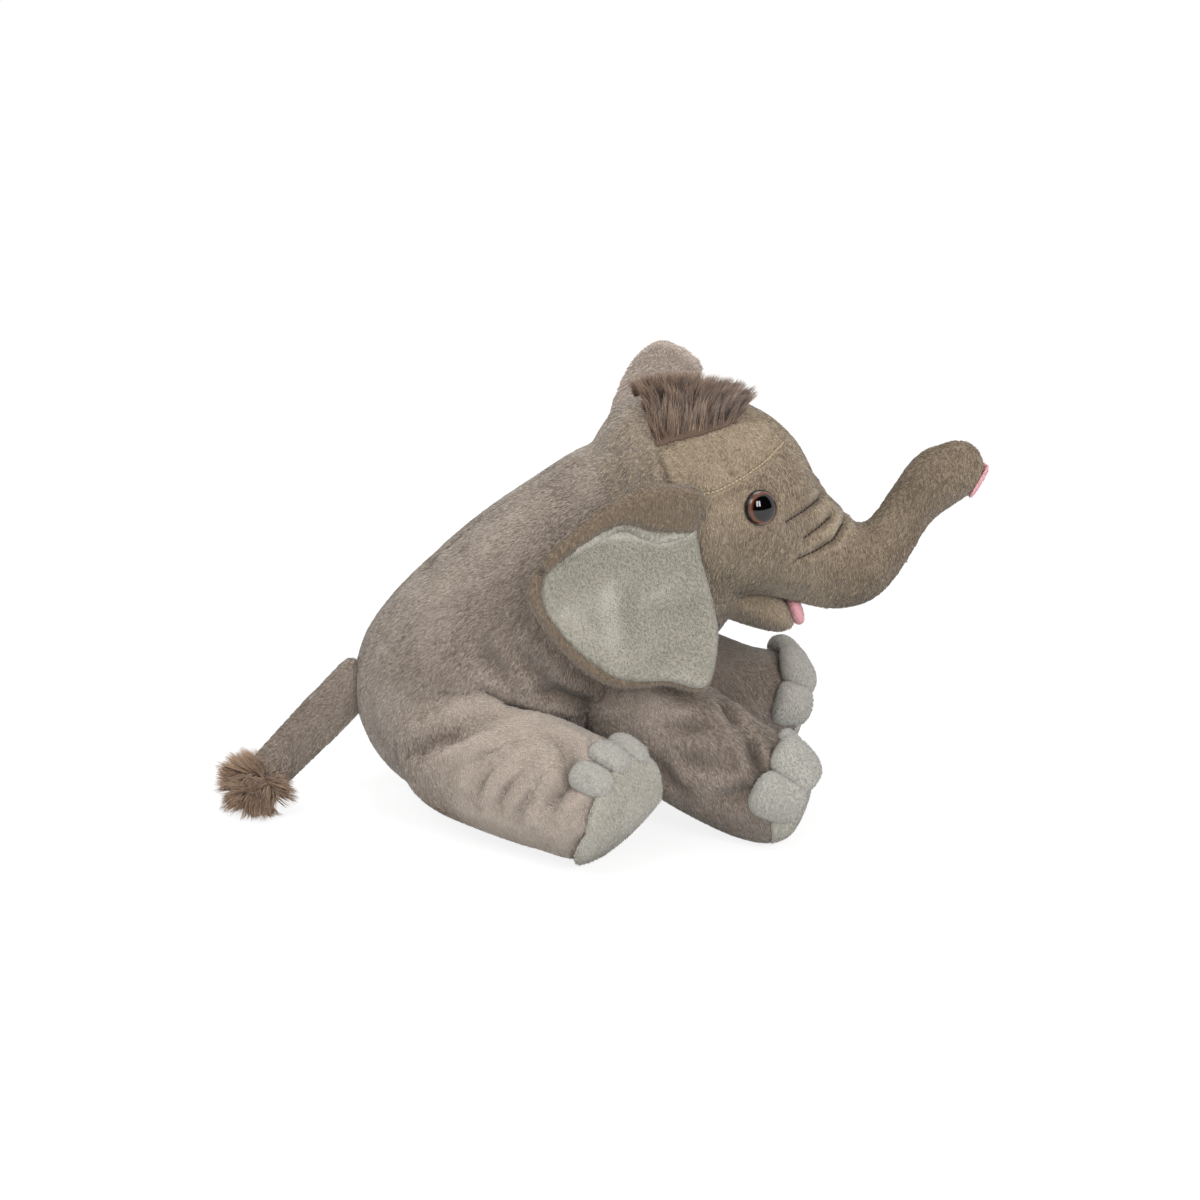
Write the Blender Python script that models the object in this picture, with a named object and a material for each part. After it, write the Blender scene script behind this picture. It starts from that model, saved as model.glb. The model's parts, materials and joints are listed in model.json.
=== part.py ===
"""A sitting stuffed elephant with its trunk raised, as covers, fillings and moulded parts.

The toy faces +X, its left is +Y and it sits on z = 0. Every sewn-on piece that bends is a
body of its own on an empty at its joint. Soft roots are shaped as balls and cups round the
joint, or are cut clear of the larger piece over the whole swing, so that nothing overlaps.
"""

import math
from typing import NamedTuple

import bmesh
import bpy
import numpy as np
from mathutils import Matrix, Vector
from mathutils.bvhtree import BVHTree

# Fits and fabrics, in metres
GAP = 0.0003
COVER = 0.002
MEET = 0.004

# Body: a rump, a belly and a neck, on a line that leans back
RUMP_RADIUS = 0.0495
RUMP_HALF_WIDTH = 0.053
RUMP_UP = 0.0464
BODY_LENGTH = 0.0880
BODY_LEAN = math.radians(39.5)
BELLY_RADIUS = 0.0505
BELLY_HALF_WIDTH = 0.054
BACK_ARCH = 0.0005
NECK_RADIUS = 0.050
NECK_HALF_WIDTH = 0.036
POUCH_RADIUS = 0.030
POUCH_HEIGHT = 0.026

# Head, measured from the neck's pivot
HEAD_TILT = math.radians(27)
HEAD_BACK = 0.019
NAPE_FORWARD = -0.003
NAPE_UP = 0.014
NAPE_HALF_WIDTH = 0.039
NAPE_DOME = 0.015
CROWN_FORWARD = 0.017
CROWN_UP = 0.016
CROWN_HALF_HEIGHT = 0.0455
CROWN_HALF_WIDTH = 0.043
FACE_FORWARD = 0.035
FACE_UP = 0.014
FACE_HALF_HEIGHT = 0.042
FACE_HALF_WIDTH = 0.042
BRIDGE_FORWARD = 0.057
BRIDGE_UP = 0.002
BRIDGE_RADIUS = 0.027
BRIDGE_HALF_WIDTH = 0.030
TUFT_FORWARD = 0.021
TUFT_UP = 0.0585
TUFT_LENGTH = 0.050
TUFT_WIDTH = 0.050
TUFT_HEIGHT = 0.022
EYE_DIAMETER = 0.0144
EYE_FORWARD = 0.0415
EYE_UP = 0.0225
EYE_DOME = 0.0045
SHANK_DIAMETER = 0.0045
SHANK_LENGTH = 0.011
WASHER_DIAMETER = 0.014
WASHER_THICKNESS = 0.0015
JAW_FORWARD = 0.032
JAW_DOWN = 0.0215
JAW_DROP = 0.0125
JAW_LENGTH = 0.030
JAW_HALF_WIDTH = 0.015
JAW_HALF_HEIGHT = 0.0075
MOUTH_LIFT = 0.008
MOUTH_THICKNESS = 0.0035

# Trunk: its root from the neck's pivot, its waist from the root, the rest from the waist
TRUNK_FORWARD = 0.0775
TRUNK_UP = -0.012
TRUNK_ROOT_RADIUS = 0.0195
SWELL_FORWARD = 0.010
SWELL_UP = 0.0034
SWELL_RADIUS = 0.0173
WAIST_FORWARD = 0.0182
WAIST_UP = 0.0112
WAIST_RADIUS = 0.013
THIN_FORWARD = 0.0101
THIN_UP = 0.0135
THIN_RADIUS = 0.012
FLARE_FORWARD = 0.0216
FLARE_UP = 0.0222
FLARE_RADIUS = 0.0143
TIP_FORWARD = 0.0328
TIP_UP = 0.0270
TIP_RADIUS = 0.0126
TIP_DOME = 0.0078
TRUNK_FLATNESS = 0.86
NOSTRIL_DIAMETER = 0.016
NOSTRIL_THICKNESS = 0.0026
NOSTRIL_LOW = math.radians(38)

# Ears
EAR_LAYER = 0.0018
EAR_HEIGHT = 0.081
EAR_WIDTH = 0.070
EAR_FOLD = 0.030
EAR_ROOT_UP = 0.020
EAR_ROOT_FORWARD = 0.0155
EAR_STAND_OFF = 0.0015
EAR_LINING_SCALE = 0.955
EAR_HEM_FROM = 0.4
EAR_EASE = 0.016

# Legs
SHOULDER_RADIUS = 0.025
SHOULDER_FORWARD = 0.064
SHOULDER_SIDE = 0.037
SHOULDER_UP = 0.043
FRONT_LEG_LENGTH = 0.064
FRONT_ROOT_RADIUS = 0.0243
FRONT_LEG_RADIUS = 0.0235
FRONT_FOOT_RADIUS = 0.0228
FAR_LEG_REACH = 1.14
NEAR_FRONT_SPLAY = math.radians(28)
FAR_FRONT_SPLAY = math.radians(4)
HIP_RADIUS = 0.0272
HIP_FORWARD = -0.004
HIP_SIDE = 0.041
HIP_UP = 0.0305
HIND_LEG_LENGTH = 0.071
HIND_ROOT_RADIUS = 0.0265
HIND_LEG_RADIUS = 0.0255
HIND_FOOT_RADIUS = 0.0245
HIND_SPLAY = math.radians(42)
ANKLE_TAPER = 0.97
SOLE_THICKNESS = 0.002
SOLE_DOME = 0.0035
TOE_LENGTH = 0.017
FRONT_TOE_WIDTH = 0.0165
HIND_TOE_WIDTH = 0.0118
TOE_HEIGHT = 0.009
FRONT_TOE_SPREAD = math.radians(50)
HIND_TOE_SPREAD = math.radians(31)
HIND_TOE_ROLL = math.radians(18)
NEAR_TOE_ROLL = math.radians(28)
FAR_TOE_ROLL = math.radians(-30)
SEAT_DEPTH = 0.0005

# Tail
TAIL_LENGTH = 0.050
TAIL_HEIGHT = 0.0225
TAIL_THICKNESS = 0.014
TAIL_TAPER = 0.84
TAIL_UP = -0.0015
TAIL_DROP = math.radians(40)
TAIL_ASIDE = math.radians(20)
BRUSH_RADIUS = 0.0125
BRUSH_REACH = 0.013

# Swings that the roots are cut clear for
NOD_RANGE = (math.radians(-15), math.radians(8))
NEAR_EAR_RANGE = (math.radians(-5), math.radians(40))
FAR_EAR_RANGE = (math.radians(-15), math.radians(15))
FRONT_LEG_RANGE = (0.0, math.radians(18))
HIND_LEG_RANGE = (math.radians(-20), 0.0)
TRUNK_RANGE = (math.radians(-10), math.radians(15))
CURL_RANGE = (math.radians(-14), math.radians(20))
TAIL_RANGE = (math.radians(-30), 0.0, math.radians(30))

# Mesh fineness
BODY_SEGMENTS = 16
BODY_RINGS = 7
HEAD_RINGS = 9
LIMB_SEGMENTS = 12
TRUNK_RINGS = 6
LEG_RINGS = 5
DOME_RINGS = 3
EASING_PASSES = 6
EAR_RINGS = 3
LEG_BALL_SEGMENTS = 14
NECK_BALL_SEGMENTS = 20
TRUNK_BALL_SEGMENTS = 14
SMALL_BALL_SEGMENTS = 12
TOE_SEGMENTS = 8
SHARP_ANGLE = math.radians(35)

SIDES = {"right": -1.0, "left": 1.0}
UP = Vector((0, 0, 1))
ACROSS = Vector((0, 1, 0))

RUMP = Vector((0, 0, RUMP_UP))
LEAN = Vector((math.cos(BODY_LEAN), 0, math.sin(BODY_LEAN)))
ARCH = Vector((-math.sin(BODY_LEAN), 0, math.cos(BODY_LEAN)))
NECK = RUMP + LEAN * BODY_LENGTH
TRUNK_ROOT = NECK + Vector((TRUNK_FORWARD, 0, TRUNK_UP))
TRUNK_WAIST = TRUNK_ROOT + Vector((WAIST_FORWARD, 0, WAIST_UP))


class Station(NamedTuple):
    """One cross-section of a stuffed form: its centre and its half height and half width."""

    centre: Vector
    height: float
    width: float


class Finish(NamedTuple):
    """A surface colour as it looks (sRGB, 0 to 1) and how rough it is."""

    colour: tuple[float, float, float]
    roughness: float


class EarPose(NamedTuple):
    """How an ear hangs: its way out and back for each step along it, up it and down it."""

    outward: float
    outward_up: float
    outward_down: float
    spread: float
    spread_up: float
    hem_flare: float
    lift: float
    fold: float
    swing: tuple[float, float]


LAID_BACK = EarPose(0.29, -0.16, 0.16, 0.95, 0.0, 0.016, 0.0, 0.0, NEAR_EAR_RANGE)
OPENED = EarPose(0.90, 0.10, 0.34, 0.44, 0.36, 0.0, 0.003, 1.0, FAR_EAR_RANGE)
EAR_POSES = {"right": LAID_BACK, "left": OPENED}

TAUPE = Finish((0.55, 0.49, 0.43), 0.95)
HEAD_TAUPE = Finish((0.50, 0.45, 0.39), 0.95)
PALE = Finish((0.69, 0.70, 0.66), 0.9)
TOE_PALE = Finish((0.74, 0.76, 0.76), 0.9)
PINK = Finish((0.88, 0.62, 0.66), 0.85)
LONG_PILE = Finish((0.43, 0.36, 0.32), 1.0)
FIBRE = Finish((0.93, 0.92, 0.90), 1.0)
PELLET_BAG = Finish((0.85, 0.83, 0.78), 0.9)
EYE_BROWN = Finish((0.16, 0.08, 0.04), 0.08)
WASHER_WHITE = Finish((0.9, 0.9, 0.88), 0.5)


def clear_scene():
    """Removes whatever the file holds before the toy is made."""
    for old in list(bpy.data.objects):
        bpy.data.objects.remove(old, do_unlink=True)


def linear(value):
    """One sRGB channel as linear light."""
    return value / 12.92 if value <= 0.04045 else ((value + 0.055) / 1.055) ** 2.4


def material_for(name, finish):
    """A Principled material named after its piece."""
    material = bpy.data.materials.new(name)
    material.use_nodes = True
    shader = material.node_tree.nodes["Principled BSDF"]
    shader.inputs["Base Color"].default_value = (*map(linear, finish.colour), 1)
    shader.inputs["Roughness"].default_value = finish.roughness
    shader.inputs["Metallic"].default_value = 0.0
    return material


def object_from(mesh_builder, name):
    """A linked object made from a bmesh, with its faces turned outwards."""
    bmesh.ops.recalc_face_normals(mesh_builder, faces=mesh_builder.faces)
    mesh = bpy.data.meshes.new(name)
    mesh_builder.to_mesh(mesh)
    mesh_builder.free()
    made = bpy.data.objects.new(name, mesh)
    bpy.context.scene.collection.objects.link(made)
    return made


def duplicate(source, matrix=None):
    """A copy of an object with its own mesh, moved by a matrix if one is given."""
    mesh = source.data.copy()
    if matrix is not None:
        mesh.transform(matrix)
    copied = bpy.data.objects.new(source.name, mesh)
    bpy.context.scene.collection.objects.link(copied)
    return copied


def boolean(target, tool, operation, keep_tool=False):
    """Joins, cuts or trims the target by the tool, and drops the tool unless it is kept."""
    modifier = target.modifiers.new(operation.title(), "BOOLEAN")
    modifier.operation = operation
    modifier.object = tool
    modifier.solver = "EXACT"
    graph = bpy.context.evaluated_depsgraph_get()
    result = bpy.data.meshes.new_from_object(target.evaluated_get(graph))
    target.modifiers.clear()
    target.data = result
    if not keep_tool:
        bpy.data.objects.remove(tool, do_unlink=True)
    return target


def keep_largest(target):
    """Drops the shards that a cut can leave, so that one body stays."""
    builder = bmesh.new()
    builder.from_mesh(target.data)
    left = set(builder.verts)
    groups = []
    while left:
        group = {left.pop()}
        edge = list(group)
        while edge:
            near = {e.other_vert(v) for v in edge for e in v.link_edges} - group
            group |= near
            edge = list(near)
        left -= group
        groups.append(group)
    spans = [np.ptp([v.co for v in group], axis=0).sum() for group in groups]
    largest = groups[int(np.argmax(spans))]
    spare = [v for group in groups if group is not largest for v in group]
    bmesh.ops.delete(builder, geom=spare, context="VERTS")
    builder.to_mesh(target.data)
    builder.free()
    return target


def smooth_run(points, count):
    """Catmull-Rom samples through rows of numbers: count rows, ends included."""
    rows = np.asarray(points, float)
    padded = np.vstack([2 * rows[0] - rows[1], rows, 2 * rows[-1] - rows[-2]])
    places = np.linspace(0, len(rows) - 1, count)
    samples = []
    for place in places:
        i = min(int(place), len(rows) - 2)
        t = place - i
        a, b, c, d = padded[i : i + 4]
        curve = 2 * b + (c - a) * t + (2 * a - 5 * b + 4 * c - d) * t**2
        samples.append((curve + (3 * b - a - 3 * c + d) * t**3) / 2)
    return np.array(samples)


def ring(builder, centre, along, height, width, segments):
    """One elliptic loop of vertices square to a direction, with a flat side upwards."""
    side = UP.cross(along).normalized()
    top = along.cross(side).normalized()
    loop = []
    for k in range(segments):
        turn = 2 * math.pi * (k + 0.5) / segments
        offset = top * (height * math.cos(turn)) + side * (width * math.sin(turn))
        loop.append(builder.verts.new(centre + offset))
    return loop


def eased_directions(points):
    """The way a run of points heads, eased along it so that thick cross-sections don't cross."""
    heading = np.gradient(points, axis=0)
    heading /= np.linalg.norm(heading, axis=1)[:, None]
    for _ in range(EASING_PASSES):
        padded = np.vstack([heading[:1], heading, heading[-1:]])
        heading = (padded[:-2] + 2 * padded[1:-1] + padded[2:]) / 4
    return heading


def loft(name, stations, rings, segments, grow=0.0, start_dome=0.0, end_dome=0.0):
    """A closed form through the stations, each end flat or domed, grown outwards evenly."""
    rows = [(*s.centre, s.height, s.width) for s in stations]
    samples = smooth_run(rows, rings)
    centres = [Vector(row[:3]) for row in samples]
    directions = eased_directions(samples[:, :3])
    last = len(centres) - 1
    builder = bmesh.new()
    loops = []

    def dome(index, along, depth, outward):
        height, width = samples[index][3] + grow, samples[index][4] + grow
        reach = depth + grow
        made = []
        for k in range(1, DOME_RINGS):
            angle = math.pi / 2 * k / DOME_RINGS
            centre = centres[index] + along * (outward * reach * math.sin(angle))
            shrink = math.cos(angle)
            made.append(ring(builder, centre, along, height * shrink, width * shrink, segments))
        made.append([builder.verts.new(centres[index] + along * (outward * reach))])
        return made

    for index, row in enumerate(samples):
        along = Vector(directions[index]).normalized()
        centre = centres[index]
        if index == 0 and start_dome == 0:
            centre = centre - along * grow
        if index == last and end_dome == 0:
            centre = centre + along * grow
        if index == 0 and start_dome > 0:
            loops += reversed(dome(0, along, start_dome, -1))
        loops.append(ring(builder, centre, along, row[3] + grow, row[4] + grow, segments))
        if index == last and end_dome > 0:
            loops += dome(last, along, end_dome, 1)
    for first, second in zip(loops, loops[1:]):
        for k in range(segments):
            a, b = first[k % len(first)], first[(k + 1) % len(first)]
            c, d = second[(k + 1) % len(second)], second[k % len(second)]
            for corners in ((a, b, c), (a, c, d)):
                if len(set(corners)) == 3:
                    builder.faces.new(corners)
    for loop in (loops[0], loops[-1]):
        if len(loop) > 1:
            builder.faces.new(loop)
    return object_from(builder, name)


def ball(name, centre, radii, segments, axis=UP, turned=0.0):
    """A ball with its poles on an axis, from its radii across and along that axis."""
    across, along = radii
    builder = bmesh.new()
    bmesh.ops.create_uvsphere(builder, u_segments=segments, v_segments=segments // 2, radius=1)
    size = Matrix.Diagonal((across, across, along, 1))
    face = UP.rotation_difference(axis).to_matrix().to_4x4()
    spin = Matrix.Rotation(turned, 4, "Z")
    builder.transform(Matrix.Translation(centre) @ face @ spin @ size)
    return object_from(builder, name)


def leg_socket(centre, radius):
    """A cutter whose flats clear a leg's ball however it is turned about the vertical."""
    half_step = math.pi / LEG_BALL_SEGMENTS
    across = (radius + GAP) / math.cos(half_step)
    return ball("socket", centre, (across, radius + GAP), LEG_BALL_SEGMENTS, turned=half_step)


def nod_socket(centre, radius, half_width, segments):
    """A cutter whose flats clear a dome however it is turned about the line across the toy."""
    clear = 1 / math.cos(math.pi / segments) ** 2
    radii = ((radius + GAP) * clear, (half_width + GAP) * clear)
    return ball("socket", centre, radii, segments, axis=ACROSS)


def cylinder(name, centre, axis, radius, length, segments=LIMB_SEGMENTS):
    """A round bar that starts at a centre and runs along an axis."""
    builder = bmesh.new()
    turn = UP.rotation_difference(axis).to_matrix().to_4x4()
    place = Matrix.Translation(centre + axis * (length / 2)) @ turn
    bmesh.ops.create_cone(
        builder,
        cap_ends=True,
        segments=segments,
        radius1=radius,
        radius2=radius,
        depth=length,
        matrix=place,
    )
    return object_from(builder, name)


def block(name, low, high):
    """A box between two corners."""
    builder = bmesh.new()
    bmesh.ops.create_cube(builder, size=1)
    low, high = Vector(low), Vector(high)
    scale = Matrix.Diagonal((*(high - low), 1))
    builder.transform(Matrix.Translation((low + high) / 2) @ scale)
    return object_from(builder, name)


def about(pivot, axis, angle):
    """The turn by an angle about an axis through a pivot."""
    turn = Matrix.Rotation(angle, 4, axis)
    return Matrix.Translation(pivot) @ turn @ Matrix.Translation(-pivot)


def clear_of(piece, larger, pivot, axis, swing):
    """Cuts a piece clear of a larger form over the whole swing about its joint."""
    for angle in swing:
        boolean(piece, duplicate(larger, about(pivot, axis, -angle)), "DIFFERENCE")
    return keep_largest(piece)


def body_stations():
    """The body's cross-sections from the rump to the neck."""
    belly = RUMP + LEAN * (BODY_LENGTH / 2) + ARCH * BACK_ARCH
    return [
        Station(RUMP, RUMP_RADIUS, RUMP_HALF_WIDTH),
        Station(belly, BELLY_RADIUS, BELLY_HALF_WIDTH),
        Station(NECK, NECK_RADIUS, NECK_HALF_WIDTH),
    ]


def shoulder(sign):
    """The centre of a front leg's joint."""
    return RUMP + Vector((SHOULDER_FORWARD, sign * SHOULDER_SIDE, SHOULDER_UP - RUMP.z))


def hip(sign):
    """The centre of a hind leg's joint."""
    return RUMP + Vector((HIP_FORWARD, sign * HIP_SIDE, HIP_UP - RUMP.z))


def body_barrel(name, grow=0.0):
    """The leaning barrel of the body, from the rump's dome to the neck's."""
    return loft(
        name,
        body_stations(),
        BODY_RINGS,
        BODY_SEGMENTS,
        grow,
        start_dome=RUMP_RADIUS,
        end_dome=NECK_RADIUS,
    )


def body_form(name, grow=0.0):
    """The body's outer form: the barrel with a ball at each leg's joint."""
    form = body_barrel(name, grow)
    for sign in SIDES.values():
        for centre, radius in ((hip(sign), HIP_RADIUS), (shoulder(sign), SHOULDER_RADIUS)):
            joint = ball("joint", centre, (radius + grow, radius + grow), LEG_BALL_SEGMENTS)
            boolean(form, joint, "UNION")
    return form


def floor_block():
    """What lies under the floor, which flattens whatever sits on it."""
    return block("floor", (-1, -1, -1), (1, 1, 0))


def half_space(sign):
    """Everything on one side of the middle seam."""
    return block("half", (-1, GAP / 2, -1), (1, 1, 1)) if sign > 0 else block(
        "half", (-1, -1, -1), (1, -GAP / 2, 1)
    )


def shell(name, outer, inner):
    """A cover: the outer form with the inner one taken out."""
    made = duplicate(outer)
    made.name = name
    return boolean(made, inner, "DIFFERENCE")


def build_body():
    """The two body covers, the filling and the pellet pouch."""
    outer = body_form("body_outer")
    cover = shell("body_cover", outer, body_form("body_inner", -COVER))
    boolean(cover, floor_block(), "DIFFERENCE")
    pieces = {}
    for side, sign in SIDES.items():
        half = boolean(duplicate(cover), half_space(sign), "INTERSECT")
        pieces[f"body_cover_{side}"] = (keep_largest(half), TAUPE)
    pouch_centre = RUMP + UP * (COVER + GAP + POUCH_HEIGHT / 2 - RUMP.z)
    radii = (POUCH_RADIUS, POUCH_HEIGHT)
    pouch = ball("pellet_pouch", pouch_centre, radii, SMALL_BALL_SEGMENTS)
    radii = (POUCH_RADIUS + 2 * GAP, POUCH_HEIGHT + 2 * GAP)
    room = ball("room", pouch_centre, radii, SMALL_BALL_SEGMENTS)
    boolean(pouch, body_form("lining", -COVER - GAP), "INTERSECT")
    filling = boolean(body_form("body_filling", -COVER - GAP), room, "DIFFERENCE")
    bpy.data.objects.remove(cover, do_unlink=True)
    pieces["body_filling"] = (keep_largest(filling), FIBRE)
    pieces["pellet_pouch"] = (keep_largest(pouch), PELLET_BAG)
    return pieces, outer


def from_neck(forward, up):
    """A point of the middle plane, measured from the neck's pivot."""
    return NECK + Vector((forward, 0, up))


def head_stations():
    """The head's cross-sections from the nape to the root of the trunk."""
    return [
        Station(from_neck(NAPE_FORWARD, NAPE_UP), CROWN_HALF_HEIGHT, NAPE_HALF_WIDTH),
        Station(from_neck(CROWN_FORWARD, CROWN_UP), CROWN_HALF_HEIGHT, CROWN_HALF_WIDTH),
        Station(from_neck(FACE_FORWARD, FACE_UP), FACE_HALF_HEIGHT, FACE_HALF_WIDTH),
        Station(from_neck(BRIDGE_FORWARD, BRIDGE_UP), BRIDGE_RADIUS, BRIDGE_HALF_WIDTH),
        Station(TRUNK_ROOT, TRUNK_ROOT_RADIUS, TRUNK_ROOT_RADIUS),
    ]


def head_form(name, grow=0.0):
    """The head's outer form, ending in a dome that the trunk bends on."""
    return loft(
        name,
        head_stations(),
        HEAD_RINGS,
        BODY_SEGMENTS,
        grow,
        start_dome=NAPE_DOME,
        end_dome=TRUNK_ROOT_RADIUS,
    )


def neck_cut(piece, body):
    """Hollows the back of the head to sit on the neck, and clears it of the body."""
    facing = Vector((math.cos(HEAD_TILT), 0, math.sin(HEAD_TILT)))
    behind = block("behind", (-1, -1, -1), (0, 1, 1))
    behind.data.transform(
        Matrix.Translation(NECK + facing * HEAD_BACK) @ Matrix.Rotation(-HEAD_TILT, 4, "Y")
    )
    boolean(piece, behind, "DIFFERENCE")
    return clear_neck(piece, body)


def clear_neck(piece, body):
    """Cuts a piece of the head clear of the neck's ball and of the body behind it."""
    neck = nod_socket(NECK, NECK_RADIUS, NECK_HALF_WIDTH, NECK_BALL_SEGMENTS)
    boolean(piece, neck, "DIFFERENCE")
    return clear_of(piece, body, NECK, ACROSS, NOD_RANGE)


def surface_at(form, start, towards):
    """The point and outward normal where a ray meets a form."""
    graph = bpy.context.evaluated_depsgraph_get()
    tree = BVHTree.FromObject(form, graph)
    place, normal, _, _ = tree.ray_cast(start, towards)
    return place, normal


def build_eye(sign, outer):
    """An eye with its shank, its washer, and the rooms they take in cover and filling."""
    beside = NECK + Vector((EYE_FORWARD, sign * 0.2, EYE_UP))
    place, normal = surface_at(outer, beside, Vector((0, -sign, 0)))
    radius = EYE_DIAMETER / 2
    lift = GAP + radius**2 / (2 * FACE_HALF_HEIGHT)
    seat = place + normal * lift
    eye = ball("eye", seat, (radius, EYE_DOME), SMALL_BALL_SEGMENTS, axis=normal)
    turn = UP.rotation_difference(normal).to_matrix().to_4x4()
    behind = block("behind", (-1, -1, -1), (1, 1, 0))
    behind.data.transform(Matrix.Translation(seat) @ turn)
    boolean(eye, behind, "DIFFERENCE")
    start = seat + normal * (EYE_DOME / 2)
    shank_length = SHANK_LENGTH + EYE_DOME / 2
    shank = cylinder("shank", start, -normal, SHANK_DIAMETER / 2, shank_length)
    boolean(eye, shank, "UNION")
    washer_top = place - normal * (COVER + radius**2 / BRIDGE_RADIUS + GAP)
    bore = SHANK_DIAMETER / 2 + GAP
    washer = cylinder("washer", washer_top, -normal, WASHER_DIAMETER / 2, WASHER_THICKNESS)
    hole = cylinder("hole", washer_top + normal * MEET, -normal, bore, 2 * MEET)
    boolean(washer, hole, "DIFFERENCE")
    shank_room = cylinder("shank_room", start, -normal, bore, shank_length + GAP)
    pocket_length = (start - washer_top).length + WASHER_THICKNESS + GAP
    pocket = cylinder("pocket", start, -normal, WASHER_DIAMETER / 2 + GAP, pocket_length)
    return eye, washer, shank_room, pocket


def build_head(body):
    """Head covers, filling, crown tuft, eyes, jaw and mouth."""
    outer = head_form("head_outer")
    cover = shell("head_cover", outer, head_form("head_inner", -COVER))
    neck_cut(cover, body)
    filling = neck_cut(head_form("head_filling", -COVER - GAP), body)
    pieces = {}
    for side, sign in SIDES.items():
        eye, washer, shank_room, pocket = build_eye(sign, outer)
        boolean(cover, shank_room, "DIFFERENCE", keep_tool=True)
        boolean(filling, shank_room, "DIFFERENCE")
        boolean(filling, pocket, "DIFFERENCE")
        pieces[f"{side}_eye"] = (eye, EYE_BROWN)
        pieces[f"{side}_eye_washer"] = (washer, WASHER_WHITE)
    for side, sign in SIDES.items():
        half = boolean(duplicate(cover), half_space(sign), "INTERSECT")
        pieces[f"head_cover_{side}"] = (keep_largest(half), HEAD_TAUPE)
    bpy.data.objects.remove(cover, do_unlink=True)
    pieces["head_filling"] = (keep_largest(filling), FIBRE)
    grown = head_form("head_grown", GAP)
    pieces["crown_tuft"] = (build_crown(grown, body), LONG_PILE)
    jaw, mouth = build_mouth(grown, body)
    pieces["lower_jaw"] = (jaw, HEAD_TAUPE)
    pieces["mouth_lining"] = (mouth, PINK)
    bpy.data.objects.remove(grown, do_unlink=True)
    return pieces, outer


def build_crown(grown, body):
    """The patch of long pile that domes over the top of the head."""
    radii = (TUFT_LENGTH / 2, TUFT_HEIGHT / 2)
    tuft = ball("crown_tuft", Vector((0, 0, 0)), radii, BODY_SEGMENTS)
    widen = Matrix.Diagonal((1, TUFT_WIDTH / TUFT_LENGTH, 1, 1))
    tuft.data.transform(Matrix.Translation(from_neck(TUFT_FORWARD, TUFT_UP)) @ widen)
    boolean(tuft, grown, "DIFFERENCE", keep_tool=True)
    return clear_neck(tuft, body)


def build_mouth(grown, body):
    """The lower jaw under the head and the pink lining between the two."""
    back = from_neck(JAW_FORWARD, -JAW_DOWN)
    front = back + Vector((JAW_LENGTH, 0, -JAW_DROP))
    middle = (back + front) / 2
    jaw = loft(
        "lower_jaw",
        [
            Station(back, JAW_HALF_HEIGHT, JAW_HALF_WIDTH),
            Station(middle, JAW_HALF_HEIGHT * 0.85, JAW_HALF_WIDTH * 0.9),
            Station(front, JAW_HALF_HEIGHT * 0.45, JAW_HALF_WIDTH * 0.6),
        ],
        4,
        LIMB_SEGMENTS,
        end_dome=JAW_HALF_HEIGHT * 0.5,
    )
    boolean(jaw, grown, "DIFFERENCE", keep_tool=True)
    clear_neck(jaw, body)
    lift = UP * MOUTH_LIFT
    lining = loft(
        "mouth_lining",
        [
            Station(middle + lift, MOUTH_THICKNESS, JAW_HALF_WIDTH * 0.7),
            Station(front + lift, MOUTH_THICKNESS, JAW_HALF_WIDTH * 0.55),
        ],
        2,
        LIMB_SEGMENTS,
        end_dome=MOUTH_THICKNESS,
    )
    boolean(lining, grown, "DIFFERENCE", keep_tool=True)
    clear_neck(lining, body)
    room = duplicate(jaw, Matrix.Translation(UP * GAP))
    boolean(lining, room, "DIFFERENCE")
    boolean(lining, duplicate(jaw), "DIFFERENCE")
    return jaw, keep_largest(lining)


def trunk_root_stations():
    """The thick lower stretch of the trunk, from the face to its waist."""
    swell = TRUNK_ROOT + Vector((SWELL_FORWARD, 0, SWELL_UP))
    return [
        Station(TRUNK_ROOT, TRUNK_ROOT_RADIUS, TRUNK_ROOT_RADIUS),
        Station(swell, SWELL_RADIUS, SWELL_RADIUS),
        Station(TRUNK_WAIST, WAIST_RADIUS, WAIST_RADIUS),
    ]


def trunk_tip_stations():
    """The raised stretch of the trunk, from its waist to its flared tip."""
    thin = TRUNK_WAIST + Vector((THIN_FORWARD, 0, THIN_UP))
    flare = TRUNK_WAIST + Vector((FLARE_FORWARD, 0, FLARE_UP))
    tip = TRUNK_WAIST + Vector((TIP_FORWARD, 0, TIP_UP))
    return [
        Station(TRUNK_WAIST, WAIST_RADIUS, WAIST_RADIUS),
        Station(thin, THIN_RADIUS, THIN_RADIUS * TRUNK_FLATNESS),
        Station(flare, FLARE_RADIUS, FLARE_RADIUS * TRUNK_FLATNESS),
        Station(tip, TIP_RADIUS, TIP_RADIUS * TRUNK_FLATNESS),
    ]


def trunk_form(name, stations, end_dome, grow=0.0):
    """A stretch of the trunk with a domed far end."""
    return loft(name, stations, TRUNK_RINGS, LIMB_SEGMENTS, grow, end_dome=end_dome)


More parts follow.
